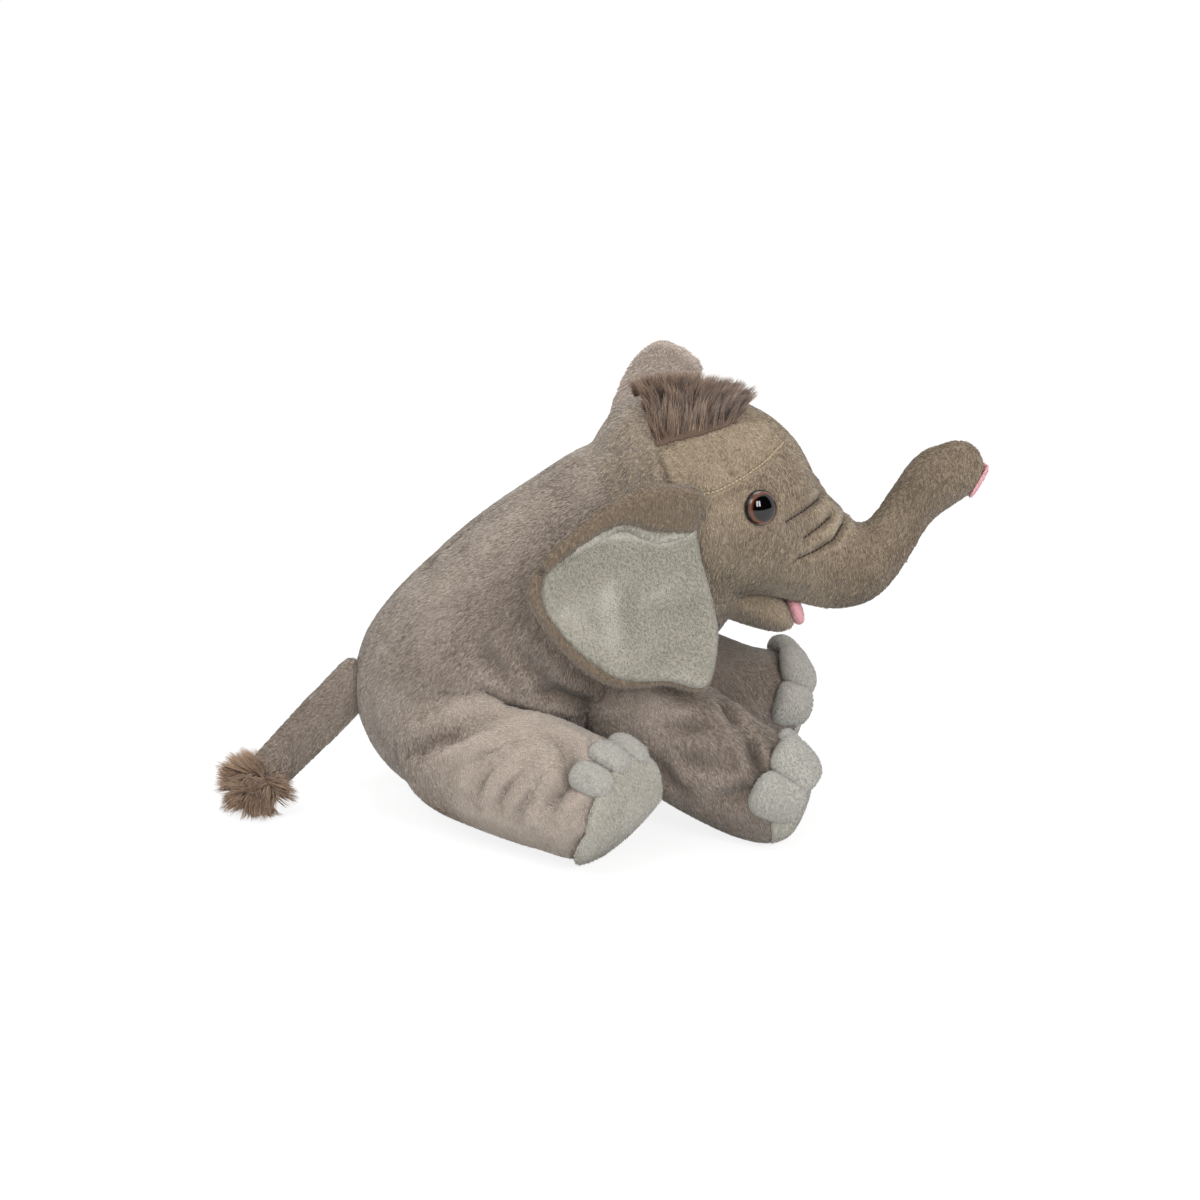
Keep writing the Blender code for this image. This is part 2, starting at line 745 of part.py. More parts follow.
def build_trunk(head):
    """The trunk's two stretches, each a cover and a filling, and the nostril patch."""
    runs = {
        "trunk_root": (trunk_root_stations(), WAIST_RADIUS, TRUNK_RANGE),
        "trunk_tip": (trunk_tip_stations(), TIP_DOME, CURL_RANGE),
    }
    pieces = {}
    larger = duplicate(head)
    for name, (stations, end_dome, swing) in runs.items():
        outer = trunk_form(name, stations, end_dome)
        inner = trunk_form("inner", stations, end_dome, -COVER)
        cover = shell(f"{name}_cover", outer, inner)
        filling = trunk_form(f"{name}_filling", stations, end_dome, -COVER - GAP)
        root = stations[0]
        for piece in (cover, filling):
            socket = nod_socket(root.centre, root.height, root.width, TRUNK_BALL_SEGMENTS)
            boolean(piece, socket, "DIFFERENCE")
            clear_of(piece, larger, root.centre, ACROSS, swing)
        pieces[f"{name}_cover"] = (cover, HEAD_TAUPE)
        pieces[f"{name}_filling"] = (filling, FIBRE)
        for spare in (outer, larger):
            bpy.data.objects.remove(spare, do_unlink=True)
        larger = trunk_form("larger", stations, end_dome, GAP)
    bpy.data.objects.remove(larger, do_unlink=True)
    pieces["nostril_patch"] = (build_nostril(), PINK)
    return pieces


def build_nostril():
    """The pink patch on the end of the trunk, low on its dome."""
    stations = trunk_tip_stations()
    along = (stations[-1].centre - stations[-2].centre).normalized()
    low = Vector((along.z, 0, -along.x))
    across, ahead = math.sin(NOSTRIL_LOW), math.cos(NOSTRIL_LOW)
    offset = along * (TIP_DOME * ahead) + low * (TIP_RADIUS * across)
    facing = along * (ahead / TIP_DOME) + low * (across / TIP_RADIUS)
    radii = (NOSTRIL_DIAMETER / 2, NOSTRIL_THICKNESS)
    place = stations[-1].centre + offset
    patch = ball("nostril_patch", place, radii, SMALL_BALL_SEGMENTS, axis=facing)
    boolean(patch, trunk_form("tip", stations, TIP_DOME, GAP), "DIFFERENCE")
    return keep_largest(patch)


def ear_outline(fold):
    """An ear's edge as (back, up) from its root: folded over at the top, or opened out."""
    w, h = EAR_WIDTH, EAR_HEIGHT
    lift = fold * EAR_FOLD
    corners = [
        ((0.03 - 0.08 * fold) * w, 0.17 * h + 0.7 * lift),
        (0.23 * w, 0.21 * h + 0.8 * lift),
        ((0.46 + 0.03 * fold) * w, 0.16 * h + lift),
        ((0.77 - 0.10 * fold) * w, -0.07 * h + 0.7 * lift),
        ((0.885 - 0.19 * fold) * w, -0.20 * h + 0.3 * lift),
        (0.77 * w, -0.51 * h),
        (0.45 * w, -0.70 * h),
        (0.18 * w, -0.73 * h),
        (-0.08 * w, -0.775 * h),
        (-0.115 * w, -0.40 * h),
        (-0.02 * w, -0.08 * h),
    ]
    closed = corners[-2:] + corners + corners[:3]
    run = smooth_run(closed, (len(closed) - 1) * 2 + 1)
    return run[4:-6]


def ear_root(sign):
    """A point of the seam that an ear flaps on."""
    return from_neck(EAR_ROOT_FORWARD, EAR_ROOT_UP) + ACROSS * (sign * FACE_HALF_WIDTH)


def ear_place(sign, pose, back, up):
    """Where a point of the ear lies, from its (back, up) place on the flat ear."""
    root = ear_root(sign) + ACROSS * (sign * EAR_STAND_OFF)
    hem = min(max(0.0, -up / EAR_HEIGHT / EAR_HEM_FROM - 1), 1.0)
    above = (math.hypot(up, EAR_EASE) - EAR_EASE + up) / 2
    below = above - up
    outward = pose.outward * back + pose.hem_flare * hem**1.5
    outward += pose.outward_up * above + pose.outward_down * below
    spread = pose.spread * back - pose.spread_up * above
    return root + Vector((-spread, sign * outward, up + pose.lift))


def ear_layer(name, sign, pose, scale, inside, outside):
    """One fabric layer of an ear, between two offsets from the ear's middle surface."""
    outline = ear_outline(pose.fold)
    middle = outline.mean(axis=0)
    builder = bmesh.new()
    step = 1e-4

    def vertex(point, offset):
        back, up = point
        here = ear_place(sign, pose, back, up)
        along = ear_place(sign, pose, back + step, up) - here
        above = ear_place(sign, pose, back, up + step) - here
        normal = along.cross(above).normalized() * sign
        return builder.verts.new(here + normal * offset)

    faces = []
    for offset in (inside, outside):
        loops = []
        for k in range(EAR_RINGS, 0, -1):
            shrink = scale * k / EAR_RINGS
            loops.append([vertex(middle + (p - middle) * shrink, offset) for p in outline])
        centre = vertex(middle, offset)
        faces.append(loops[0])
        count = len(outline)
        for first, second in zip(loops, loops[1:]):
            for k in range(count):
                n = (k + 1) % count
                builder.faces.new((first[k], first[n], second[n], second[k]))
        for k in range(count):
            builder.faces.new((loops[-1][k], loops[-1][(k + 1) % count], centre))
    for k in range(len(outline)):
        n = (k + 1) % len(outline)
        builder.faces.new((faces[0][k], faces[0][n], faces[1][n], faces[1][k]))
    return object_from(builder, name)


def build_ear(side, head):
    """An ear's taupe back and its pale lining, sewn edge to edge."""
    sign, pose = SIDES[side], EAR_POSES[side]
    layers = {
        "back": (1.0, -EAR_LAYER - GAP / 2, -GAP / 2, HEAD_TAUPE),
        "lining": (EAR_LINING_SCALE, GAP / 2, EAR_LAYER + GAP / 2, PALE),
    }
    pieces = {}
    for layer, (scale, inside, outside, finish) in layers.items():
        name = f"{side}_ear_{layer}"
        made = ear_layer(name, sign, pose, scale, inside, outside)
        clear_of(made, head, ear_root(sign), UP * -sign, pose.swing)
        pieces[name] = (made, finish)
    return pieces


class Leg(NamedTuple):
    """How one leg lies: its joint, its direction and its cross-sections' radii."""

    name: str
    joint: Vector
    direction: Vector
    length: float
    ball_radius: float
    root_radius: float
    leg_radius: float
    foot_radius: float
    swing: tuple[float, float]
    toe_roll: float
    toe_spread: float
    toe_width: float


def leg_direction(sign, splay, dip):
    """The way a leg points: forwards, turned out by a splay and down by a dip."""
    flat = Vector((math.cos(splay), sign * math.sin(splay), 0))
    return (flat * math.cos(dip) - UP * math.sin(dip)).normalized()


def dip_to_floor(joint_up, length, foot_radius):
    """How far a leg dips for the flat side of its foot to press into the floor."""
    flat_radius = foot_radius * math.cos(math.pi / LIMB_SEGMENTS)
    dip = 0.0
    for _ in range(4):
        dip = math.asin((joint_up - flat_radius * math.cos(dip) + SEAT_DEPTH) / length)
    return dip


def all_legs():
    """The four legs as they lie in the sitting toy."""
    reach = {"right": 1.0, "left": FAR_LEG_REACH}
    splay = {"right": NEAR_FRONT_SPLAY, "left": FAR_FRONT_SPLAY}
    roll = {"right": NEAR_TOE_ROLL, "left": FAR_TOE_ROLL}
    legs = []
    for side, sign in SIDES.items():
        length = FRONT_LEG_LENGTH * reach[side]
        dip = dip_to_floor(SHOULDER_UP, length, FRONT_FOOT_RADIUS)
        legs.append(
            Leg(
                f"{side}_front",
                shoulder(sign),
                leg_direction(sign, splay[side], dip),
                length,
                SHOULDER_RADIUS,
                FRONT_ROOT_RADIUS,
                FRONT_LEG_RADIUS,
                FRONT_FOOT_RADIUS,
                FRONT_LEG_RANGE,
                roll[side],
                FRONT_TOE_SPREAD,
                FRONT_TOE_WIDTH,
            )
        )
        dip = dip_to_floor(HIP_UP, HIND_LEG_LENGTH, HIND_FOOT_RADIUS)
        legs.append(
            Leg(
                f"{side}_hind",
                hip(sign),
                leg_direction(sign, HIND_SPLAY, dip),
                HIND_LEG_LENGTH,
                HIP_RADIUS,
                HIND_ROOT_RADIUS,
                HIND_LEG_RADIUS,
                HIND_FOOT_RADIUS,
                HIND_LEG_RANGE,
                HIND_TOE_ROLL,
                HIND_TOE_SPREAD,
                HIND_TOE_WIDTH,
            )
        )
    return legs


def leg_stations(leg, overrun=0.0):
    """A leg's cross-sections, swelling at the thigh and at the foot."""
    d, length = leg.direction, leg.length
    ankle = leg.foot_radius * ANKLE_TAPER
    return [
        Station(leg.joint, leg.root_radius, leg.root_radius),
        Station(leg.joint + d * (length * 0.35), leg.leg_radius, leg.leg_radius),
        Station(leg.joint + d * (length * 0.7), ankle, ankle),
        Station(leg.joint + d * (length + overrun), leg.foot_radius, leg.foot_radius),
    ]


def leg_form(leg, name, grow=0.0, overrun=0.0):
    """A leg's outer form with a flat end for the sole."""
    return loft(name, leg_stations(leg, overrun - grow), LEG_RINGS, LIMB_SEGMENTS, grow)


def build_toe(leg, turn, foot):
    """A padded toe tab on the edge of the sole."""
    d = leg.direction
    side = UP.cross(d).normalized()
    top = d.cross(side).normalized()
    outward = top * math.cos(turn) + side * math.sin(turn)
    across = d.cross(outward)
    centre = leg.joint + d * (leg.length - TOE_LENGTH * 0.3) + outward * leg.foot_radius
    toe = ball("toe", Vector((0, 0, 0)), (leg.toe_width / 2, TOE_HEIGHT / 2), TOE_SEGMENTS)
    axes = Matrix((across, d, outward)).transposed().to_4x4()
    lengthen = Matrix.Diagonal((1, TOE_LENGTH / leg.toe_width, 1, 1))
    toe.data.transform(Matrix.Translation(centre) @ axes @ lengthen)
    boolean(toe, foot, "DIFFERENCE", keep_tool=True)
    return keep_largest(toe)


def build_leg(leg, body):
    """A leg's cover, filling, sole and toe tabs."""
    name = f"{leg.name}_leg"
    sign = 1.0 if leg.joint.y > 0 else -1.0
    outer = leg_form(leg, "leg_outer")
    inner = leg_form(leg, "leg_inner", -COVER, overrun=MEET)
    cover = shell(f"{name}_cover", outer, inner)
    filling = leg_form(leg, f"{name}_filling", -COVER - GAP)
    swing_axis = UP * -sign
    for piece in (cover, filling):
        boolean(piece, floor_block(), "DIFFERENCE")
        boolean(piece, leg_socket(leg.joint, leg.ball_radius), "DIFFERENCE")
        clear_of(piece, body, leg.joint, swing_axis, leg.swing)
    end = leg.joint + leg.direction * (leg.length + GAP)
    edge = end + leg.direction * SOLE_THICKNESS
    rim = [Station(p, leg.foot_radius, leg.foot_radius) for p in (end, edge)]
    sole = loft(f"{leg.name}_sole", rim, 2, LIMB_SEGMENTS, end_dome=SOLE_DOME)
    boolean(sole, floor_block(), "DIFFERENCE")
    foot = leg_form(leg, "foot", GAP, overrun=SOLE_THICKNESS + SOLE_DOME)
    pieces = {
        f"{name}_cover": (cover, TAUPE),
        f"{name}_filling": (filling, FIBRE),
        f"{leg.name}_sole": (sole, PALE),
    }
    for label, turn in (("inner", 1.0), ("top", 0.0), ("outer", -1.0)):
        toe = build_toe(leg, -sign * (turn * leg.toe_spread - leg.toe_roll), foot)
        pieces[f"{leg.name}_toe_{label}"] = (toe, TOE_PALE)
    for spare in (outer, foot):
        bpy.data.objects.remove(spare, do_unlink=True)
    return pieces


def tail_root():
    """Where the tail is sewn to the rump."""
    return RUMP + Vector((-RUMP_RADIUS, 0, TAIL_UP))


def build_tail(body):
    """The tail's strap and the tuft of long pile on its end."""
    root = tail_root()
    flat = Vector((-math.cos(TAIL_ASIDE), -math.sin(TAIL_ASIDE), 0))
    along = flat * math.cos(TAIL_DROP) - UP * math.sin(TAIL_DROP)
    height, width = TAIL_HEIGHT / 2, TAIL_THICKNESS / 2
    end = root + along * TAIL_LENGTH
    strap = loft(
        "tail_cover",
        [
            Station(root - along * MEET, height, width),
            Station((root + end) / 2, height * (1 + TAIL_TAPER) / 2, width),
            Station(end, height * TAIL_TAPER, width * TAIL_TAPER),
        ],
        5,
        LIMB_SEGMENTS,
    )
    clear_of(strap, body, root, UP, TAIL_RANGE)
    brush_start = end + along * GAP
    brush = loft(
        "tail_tuft",
        [
            Station(brush_start, height * TAIL_TAPER, width * TAIL_TAPER),
            Station(brush_start + along * (BRUSH_REACH / 2), BRUSH_RADIUS, BRUSH_RADIUS),
        ],
        4,
        LIMB_SEGMENTS,
        end_dome=BRUSH_REACH / 2,
    )
    for piece in (strap, brush):
        boolean(piece, floor_block(), "DIFFERENCE")
    return {"tail_cover": (strap, TAUPE), "tail_tuft": (keep_largest(brush), LONG_PILE)}


def place_bodies(bodies):
    """Parents each body's pieces to an empty on its joint, and all of them to one root."""
    root = bpy.data.objects.new("elephant", None)
    bpy.context.scene.collection.objects.link(root)
    for body, (parent, pivot, pieces) in bodies.items():
        joint = bpy.data.objects.new(f"{body}_joint", None)
        bpy.context.scene.collection.objects.link(joint)
        joint.location = pivot - (bodies[parent][1] if parent else Vector())
        joint.parent = bpy.data.objects[f"{parent}_joint"] if parent else root
        for name, (piece, finish) in pieces.items():
            piece.name = name
            piece.data.name = name
            piece.data.transform(Matrix.Translation(-pivot))
            piece.data.materials.clear()
            piece.data.materials.append(material_for(name, finish))
            piece.data.shade_smooth()
            piece.data.set_sharp_from_angle(angle=SHARP_ANGLE)
            piece.parent = joint
    return root


def centre_on_floor(root):
    """Stands the toy on z = 0 with the middle of its outline over the origin."""
    bpy.context.view_layer.update()
    corners = [
        piece.matrix_world @ vertex.co
        for piece in root.children_recursive
        if piece.type == "MESH"
        for vertex in piece.data.vertices
    ]
    low = np.min(corners, axis=0)
    high = np.max(corners, axis=0)
    middle = (low + high) / 2
    root.location = (-middle[0], -middle[1], -low[2])
    bpy.context.view_layer.update()


def build():
    """Makes the whole toy."""
    clear_scene()
    body_pieces, body_outer = build_body()
    bpy.data.objects.remove(body_outer, do_unlink=True)
    body = body_barrel("body_grown", GAP)
    head_pieces, head_outer = build_head(body)
    bpy.data.objects.remove(head_outer, do_unlink=True)
    head = head_form("head_grown", GAP)
    trunk_pieces = build_trunk(head)
    tip_names = ("trunk_tip_cover", "trunk_tip_filling", "nostril_patch")
    tip_pieces = {name: trunk_pieces.pop(name) for name in tip_names}
    bodies = {
        "body": (None, RUMP, body_pieces),
        "head": ("body", NECK, head_pieces),
        "trunk_root": ("head", TRUNK_ROOT, trunk_pieces),
        "trunk_tip": ("trunk_root", TRUNK_WAIST, tip_pieces),
    }
    for side, sign in SIDES.items():
        bodies[f"{side}_ear"] = ("head", ear_root(sign), build_ear(side, head))
    for leg in all_legs():
        bodies[f"{leg.name}_leg"] = ("body", leg.joint, build_leg(leg, body))
    bodies["tail"] = ("body", tail_root(), build_tail(body))
    for spare in (body, head):
        bpy.data.objects.remove(spare, do_unlink=True)
    centre_on_floor(place_bodies(bodies))


build()
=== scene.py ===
"""A sitting plush elephant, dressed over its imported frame.

Stuffed skins stand for the CAD covers and fillings. Short pile, long tufts and stitches are made
by Geometry Nodes, and the ears, soles, toes, eyes and mouth are sewn or set on the skins.
"""

from __future__ import annotations

import json
import logging
import math
from contextlib import contextmanager
from dataclasses import asdict, dataclass, field, fields, replace
from enum import Enum
from typing import Any, Callable, Iterable, Iterator, Sequence

import bmesh
import bpy
import numpy as np
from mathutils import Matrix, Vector
from mathutils.bvhtree import BVHTree
from mathutils.geometry import delaunay_2d_cdt

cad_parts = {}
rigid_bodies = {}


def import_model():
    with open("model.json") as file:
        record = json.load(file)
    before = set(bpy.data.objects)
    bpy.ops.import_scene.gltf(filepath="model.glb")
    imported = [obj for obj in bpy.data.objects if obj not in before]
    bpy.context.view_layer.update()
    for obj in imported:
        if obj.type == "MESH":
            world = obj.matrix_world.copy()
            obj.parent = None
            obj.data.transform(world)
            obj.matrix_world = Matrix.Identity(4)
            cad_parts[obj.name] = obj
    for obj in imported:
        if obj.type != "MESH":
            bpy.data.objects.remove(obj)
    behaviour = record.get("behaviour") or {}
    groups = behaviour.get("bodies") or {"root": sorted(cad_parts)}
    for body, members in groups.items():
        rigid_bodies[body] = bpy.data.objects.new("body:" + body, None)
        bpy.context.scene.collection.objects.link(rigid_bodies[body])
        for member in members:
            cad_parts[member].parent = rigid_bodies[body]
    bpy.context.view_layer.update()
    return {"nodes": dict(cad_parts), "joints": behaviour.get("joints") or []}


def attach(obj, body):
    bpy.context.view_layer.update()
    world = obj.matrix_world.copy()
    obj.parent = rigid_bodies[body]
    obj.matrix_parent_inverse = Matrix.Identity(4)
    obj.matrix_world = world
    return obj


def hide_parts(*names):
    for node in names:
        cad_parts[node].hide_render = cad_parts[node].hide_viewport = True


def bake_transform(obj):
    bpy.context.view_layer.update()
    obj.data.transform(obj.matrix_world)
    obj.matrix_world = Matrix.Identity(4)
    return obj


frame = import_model()
LOG = logging.getLogger("elephant")

Array = np.ndarray
Object = bpy.types.Object
Material = bpy.types.Material
Faces = list[tuple[int, ...]]
Colour = tuple[int, int, int]
Pixel = tuple[float, float]
Place = tuple[float, float, float]
Section = tuple[float, float, float, float]

SIDES: dict[str, float] = {"right": -1.0, "left": 1.0}
PIVOTS: dict[str, Array] = {j["child"]: np.array(j["pos_m"], float) for j in frame["joints"]}
NECK: Array = PIVOTS["head"]
TRUNK_ROOT: Array = PIVOTS["trunk_root"]
TRUNK_WAIST: Array = PIVOTS["trunk_tip"]
UP: Array = np.array((0.0, 0.0, 1.0))
ACROSS: Array = np.array((0.0, 1.0, 0.0))
MIRROR: Array = np.array((1.0, -1.0, 1.0))
PAD_ABOVE_FLOOR = 0.0007
PRESSURE_GAIN = 3600.0
PRESSED_FRAMES = 20
EYE_AHEAD, EYE_UP = 0.0398, 0.0234


class Slot(Enum):
    """The record's material slots of the toy's fabrics; the long pile's slot picks its tree."""

    TAUPE = "taupe_plush"
    HEAD = "head_plush"
    PALE = "pale_velour"
    TOE = "toe_velour"
    PINK = "pink_velour"
    LONG = "long_pile"
    EYE = "eye_plastic"


def unit(vector: Array) -> Array:
    """A vector or rows of vectors at length one."""
    length = np.linalg.norm(vector, axis=-1, keepdims=True)
    return vector / np.maximum(length, 1e-12)


def smoothstep(low: float, high: float, value: Array) -> Array:
    """A soft step from 0 at low to 1 at high."""
    t = np.clip((value - low) / (high - low), 0.0, 1.0)
    return t * t * (3 - 2 * t)


def bell(away: Array, width: float) -> Array:
    """A soft bump of height one, by the distance from its middle and its width."""
    return np.exp(-((away / width) ** 2))


def beyond(base: Array, ahead: float, up: float) -> Array:
    """A place ahead of another and above it."""
    return base + np.array((ahead, 0.0, up))


def tilted(angle: float) -> Array:
    """The direction ahead, raised by an angle."""
    return np.array((math.cos(angle), 0.0, math.sin(angle)))


def linear(colour: Sequence[float]) -> tuple[float, float, float, float]:
    """A colour as it looks (sRGB, 0 to 255) as Blender's linear RGBA."""
    parts = [c / 255 for c in colour]
    made = [c / 12.92 if c <= 0.04045 else ((c + 0.055) / 1.055) ** 2.4 for c in parts]
    return (made[0], made[1], made[2], 1.0)


# ---------------------------------------------------------------------------------------------
# Meshes


def link(name: str, data: bpy.types.ID) -> Object:
    """An object of a mesh, lamp or camera, linked to the scene."""
    made = bpy.data.objects.new(name, data)
    bpy.context.scene.collection.objects.link(made)
    return made


def new_object(name: str, points: Array, faces: Iterable[Sequence[int]]) -> Object:
    """A mesh object at the origin.

    Args:
        name: The object's name.
        points: Its points, one row each.
        faces: Its faces as rows of point numbers, seen anticlockwise from outside.

    Returns:
        The object, linked to the scene.
    """
    mesh = bpy.data.meshes.new(name)
    mesh.from_pydata([tuple(p) for p in points], [], [tuple(int(i) for i in f) for f in faces])
    mesh.update()
    return link(name, mesh)


def read(rows: Any, key: str) -> Array:
    """A vector of each row of a mesh, such as the place of each point."""
    flat = np.empty(len(rows) * 3, np.float32)
    rows.foreach_get(key, flat)
    return flat.reshape(-1, 3).astype(float)


def points_of(made: Object) -> Array:
    """The points of an object's mesh, one row each."""
    return read(made.data.vertices, "co")


def normals_of(made: Object) -> Array:
    """The outward normal at each point of an object's mesh."""
    return read(made.data.vertex_normals, "vector")


def set_points(made: Object, points: Array) -> None:
    """Moves the points of an object's mesh."""
    made.data.vertices.foreach_set("co", np.ascontiguousarray(points, np.float32).ravel())
    made.data.update()


def keep_above(made: Object, height: float) -> Object:
    """Moves the points of an object's mesh up to a height where they lie below it."""
    points = points_of(made)
    points[:, 2] = np.maximum(points[:, 2], height)
    set_points(made, points)
    return made


def store(made: Object, name: str, values: Array) -> None:
    """Stores a number or a vector for each point of a mesh."""
    kind, key = ("FLOAT_VECTOR", "vector") if values.ndim > 1 else ("FLOAT", "value")
    layer = made.data.attributes.get(name) or made.data.attributes.new(name, kind, "POINT")
    layer.data.foreach_set(key, np.ascontiguousarray(values, np.float32).ravel())


def surface_of(made: Object) -> BVHTree:
    """A tree of an object's faces, for nearest points and rays."""
    faces = [tuple(p.vertices) for p in made.data.polygons]
    return BVHTree.FromPolygons([tuple(p) for p in points_of(made)], faces)


def settle(made: Object) -> Object:
    """Makes an object's modifiers into a plain mesh and removes them."""
    graph = bpy.context.evaluated_depsgraph_get()
    mesh = bpy.data.meshes.new_from_object(made.evaluated_get(graph))
    spent = made.data
    made.modifiers.clear()
    made.data = mesh
    bpy.data.meshes.remove(spent)
    mesh.name = made.name
    return made


def refine(made: Object, levels: int) -> Object:
    """Subdivides an object's mesh smoothly."""
    modifier = made.modifiers.new("smooth", "SUBSURF")
    modifier.levels = levels
    modifier.render_levels = levels
    return settle(made)


@contextmanager
def editing(mesh: bpy.types.Mesh) -> Iterator[bmesh.types.BMesh]:
    """Opens a mesh for editing and writes it back."""
    builder = bmesh.new()
    builder.from_mesh(mesh)
    yield builder
    builder.to_mesh(mesh)
    builder.free()


def outward(made: Object) -> Object:
    """Turns a closed mesh's faces outwards."""
    with editing(made.data) as builder:
        bmesh.ops.recalc_face_normals(builder, faces=builder.faces)
        if builder.calc_volume(signed=True) < 0:
            bmesh.ops.reverse_faces(builder, faces=builder.faces)
    return made


def duplicate_where(made: Object, name: str, wanted: Callable[[Array], Array]) -> Object:
    """A copy of the faces whose middles are wanted.

    Args:
        made: The mesh object.
        name: The copy's name.
        wanted: Gives true for each face to keep, from the faces' middles.

    Returns:
        The copy.
    """
    copy = link(name, made.data.copy())
    keep = wanted(read(copy.data.polygons, "center"))
    with editing(copy.data) as builder:
        builder.faces.ensure_lookup_table()
        spare = [builder.faces[int(k)] for k in np.flatnonzero(~keep)]
        bmesh.ops.delete(builder, geom=spare, context="FACES")
    return copy


def split_by_plane(made: Object, name: str, place: Array, along: Array) -> Object:
    """Cuts a closed mesh in two by a plane and closes both.

    Args:
        made: The mesh object, which keeps the part behind the plane.
        name: The name of the part in front of it.
        place: A point of the plane.
        along: The plane's normal.

    Returns:
        The part in front.
    """
    front = link(name, made.data.copy())
    for piece, ahead in ((made, False), (front, True)):
        with editing(piece.data) as builder:
            bmesh.ops.bisect_plane(
                builder,
                geom=[*builder.verts, *builder.edges, *builder.faces],
                plane_co=Vector(place),
                plane_no=Vector(along),
                clear_outer=not ahead,
                clear_inner=ahead,
            )
            rim = [e for e in builder.edges if e.is_boundary]
            bmesh.ops.triangle_fill(builder, edges=rim, use_beauty=True)
            bmesh.ops.recalc_face_normals(builder, faces=builder.faces)
    return front


def nearest_gap(points: Array, surface: BVHTree) -> tuple[Array, Array]:
    """How far points stand outside a closed surface, and its normal beside each of them."""
    gaps = np.empty(len(points))
    normals = np.empty((len(points), 3))
    for k, point in enumerate(points):
        place, normal, _, _ = surface.find_nearest(Vector(point))
        gaps[k] = (Vector(point) - place).dot(normal)
        normals[k] = normal
    return gaps, normals


def on_surface(line: Array, surface: BVHTree, lift: float) -> Array:
    """A line of points laid on a surface and lifted off it."""
    found = [surface.find_nearest(Vector(point)) for point in line]
    return np.array([tuple(place + normal * lift) for place, normal, _, _ in found])


def line_distance(points: Array, line: Array) -> tuple[Array, Array]:
    """Each point's distance from a line of points, and how far along the line it lies (0 to 1)."""
    best = np.full(len(points), 1e9)
    along = np.zeros(len(points))
    lengths = np.linalg.norm(np.diff(line, axis=0), axis=1)
    marks = np.concatenate([[0.0], np.cumsum(lengths)])
    for k, (a, b) in enumerate(zip(line[:-1], line[1:])):
        run = b - a
        t = np.clip((points - a) @ run / max(run @ run, 1e-18), 0, 1)
        distance = np.linalg.norm(points - a - t[:, None] * run, axis=1)
        closer = distance < best
        best[closer] = distance[closer]
        along[closer] = (marks[k] + t[closer] * lengths[k]) / marks[-1]
    return best, along


def inside_outline(points: Array, outline: Array) -> Array:
    """True for each flat point inside a closed outline."""
    inside = np.zeros(len(points), bool)
    x, y = points[:, 0], points[:, 1]
    for (ax, ay), (bx, by) in zip(outline, np.roll(outline, -1, axis=0)):
        crosses = (ay > y) != (by > y)
        if ay != by:
            inside ^= crosses & (x < (bx - ax) * (y - ay) / (by - ay) + ax)
    return inside


def resample(line: Array, count: int) -> Array:
    """Evenly spaced points along a line of points."""
    marks = np.concatenate([[0.0], np.cumsum(np.linalg.norm(np.diff(line, axis=0), axis=1))])
    wanted = np.linspace(0, marks[-1], count)
    return np.stack([np.interp(wanted, marks, line[:, k]) for k in range(line.shape[1])], axis=1)


def rounded_run(values: Array, steps: int) -> Array:
    """A smooth run through rows of numbers, with the given steps between each pair."""
    padded = np.concatenate([[2 * values[0] - values[1]], values, [2 * values[-1] - values[-2]]])
    rows = []
    for k in range(1, len(padded) - 2):
        a, b, c, d = padded[k - 1 : k + 3]
        for t in np.arange(steps) / steps:
            rows.append(
                0.5 * (2 * b + (c - a) * t + (2 * a - 5 * b + 4 * c - d) * t**2)
                + 0.5 * (3 * b - a - 3 * c + d) * t**3
            )
    return np.array(rows + [values[-1]])


def ring_faces(rings: int, segments: int) -> Faces:
    """The faces of a first point, rings of points and a last point, in the points' order."""
    faces: Faces = []
    low = 1 + (rings - 1) * segments
    for k in range(segments):
        n = (k + 1) % segments
        faces.append((0, 1 + k, 1 + n))
        for row in range(rings - 1):
            a, b = 1 + row * segments, 1 + (row + 1) * segments
            faces.append((a + k, b + k, b + n, a + n))
        faces.append((1 + rings * segments, low + n, low + k))
    return faces


@dataclass
class Ring:
    """One cross-section of a stuffed form: its centre and its half height and half width."""

    centre: Array
    height: float
    width: float


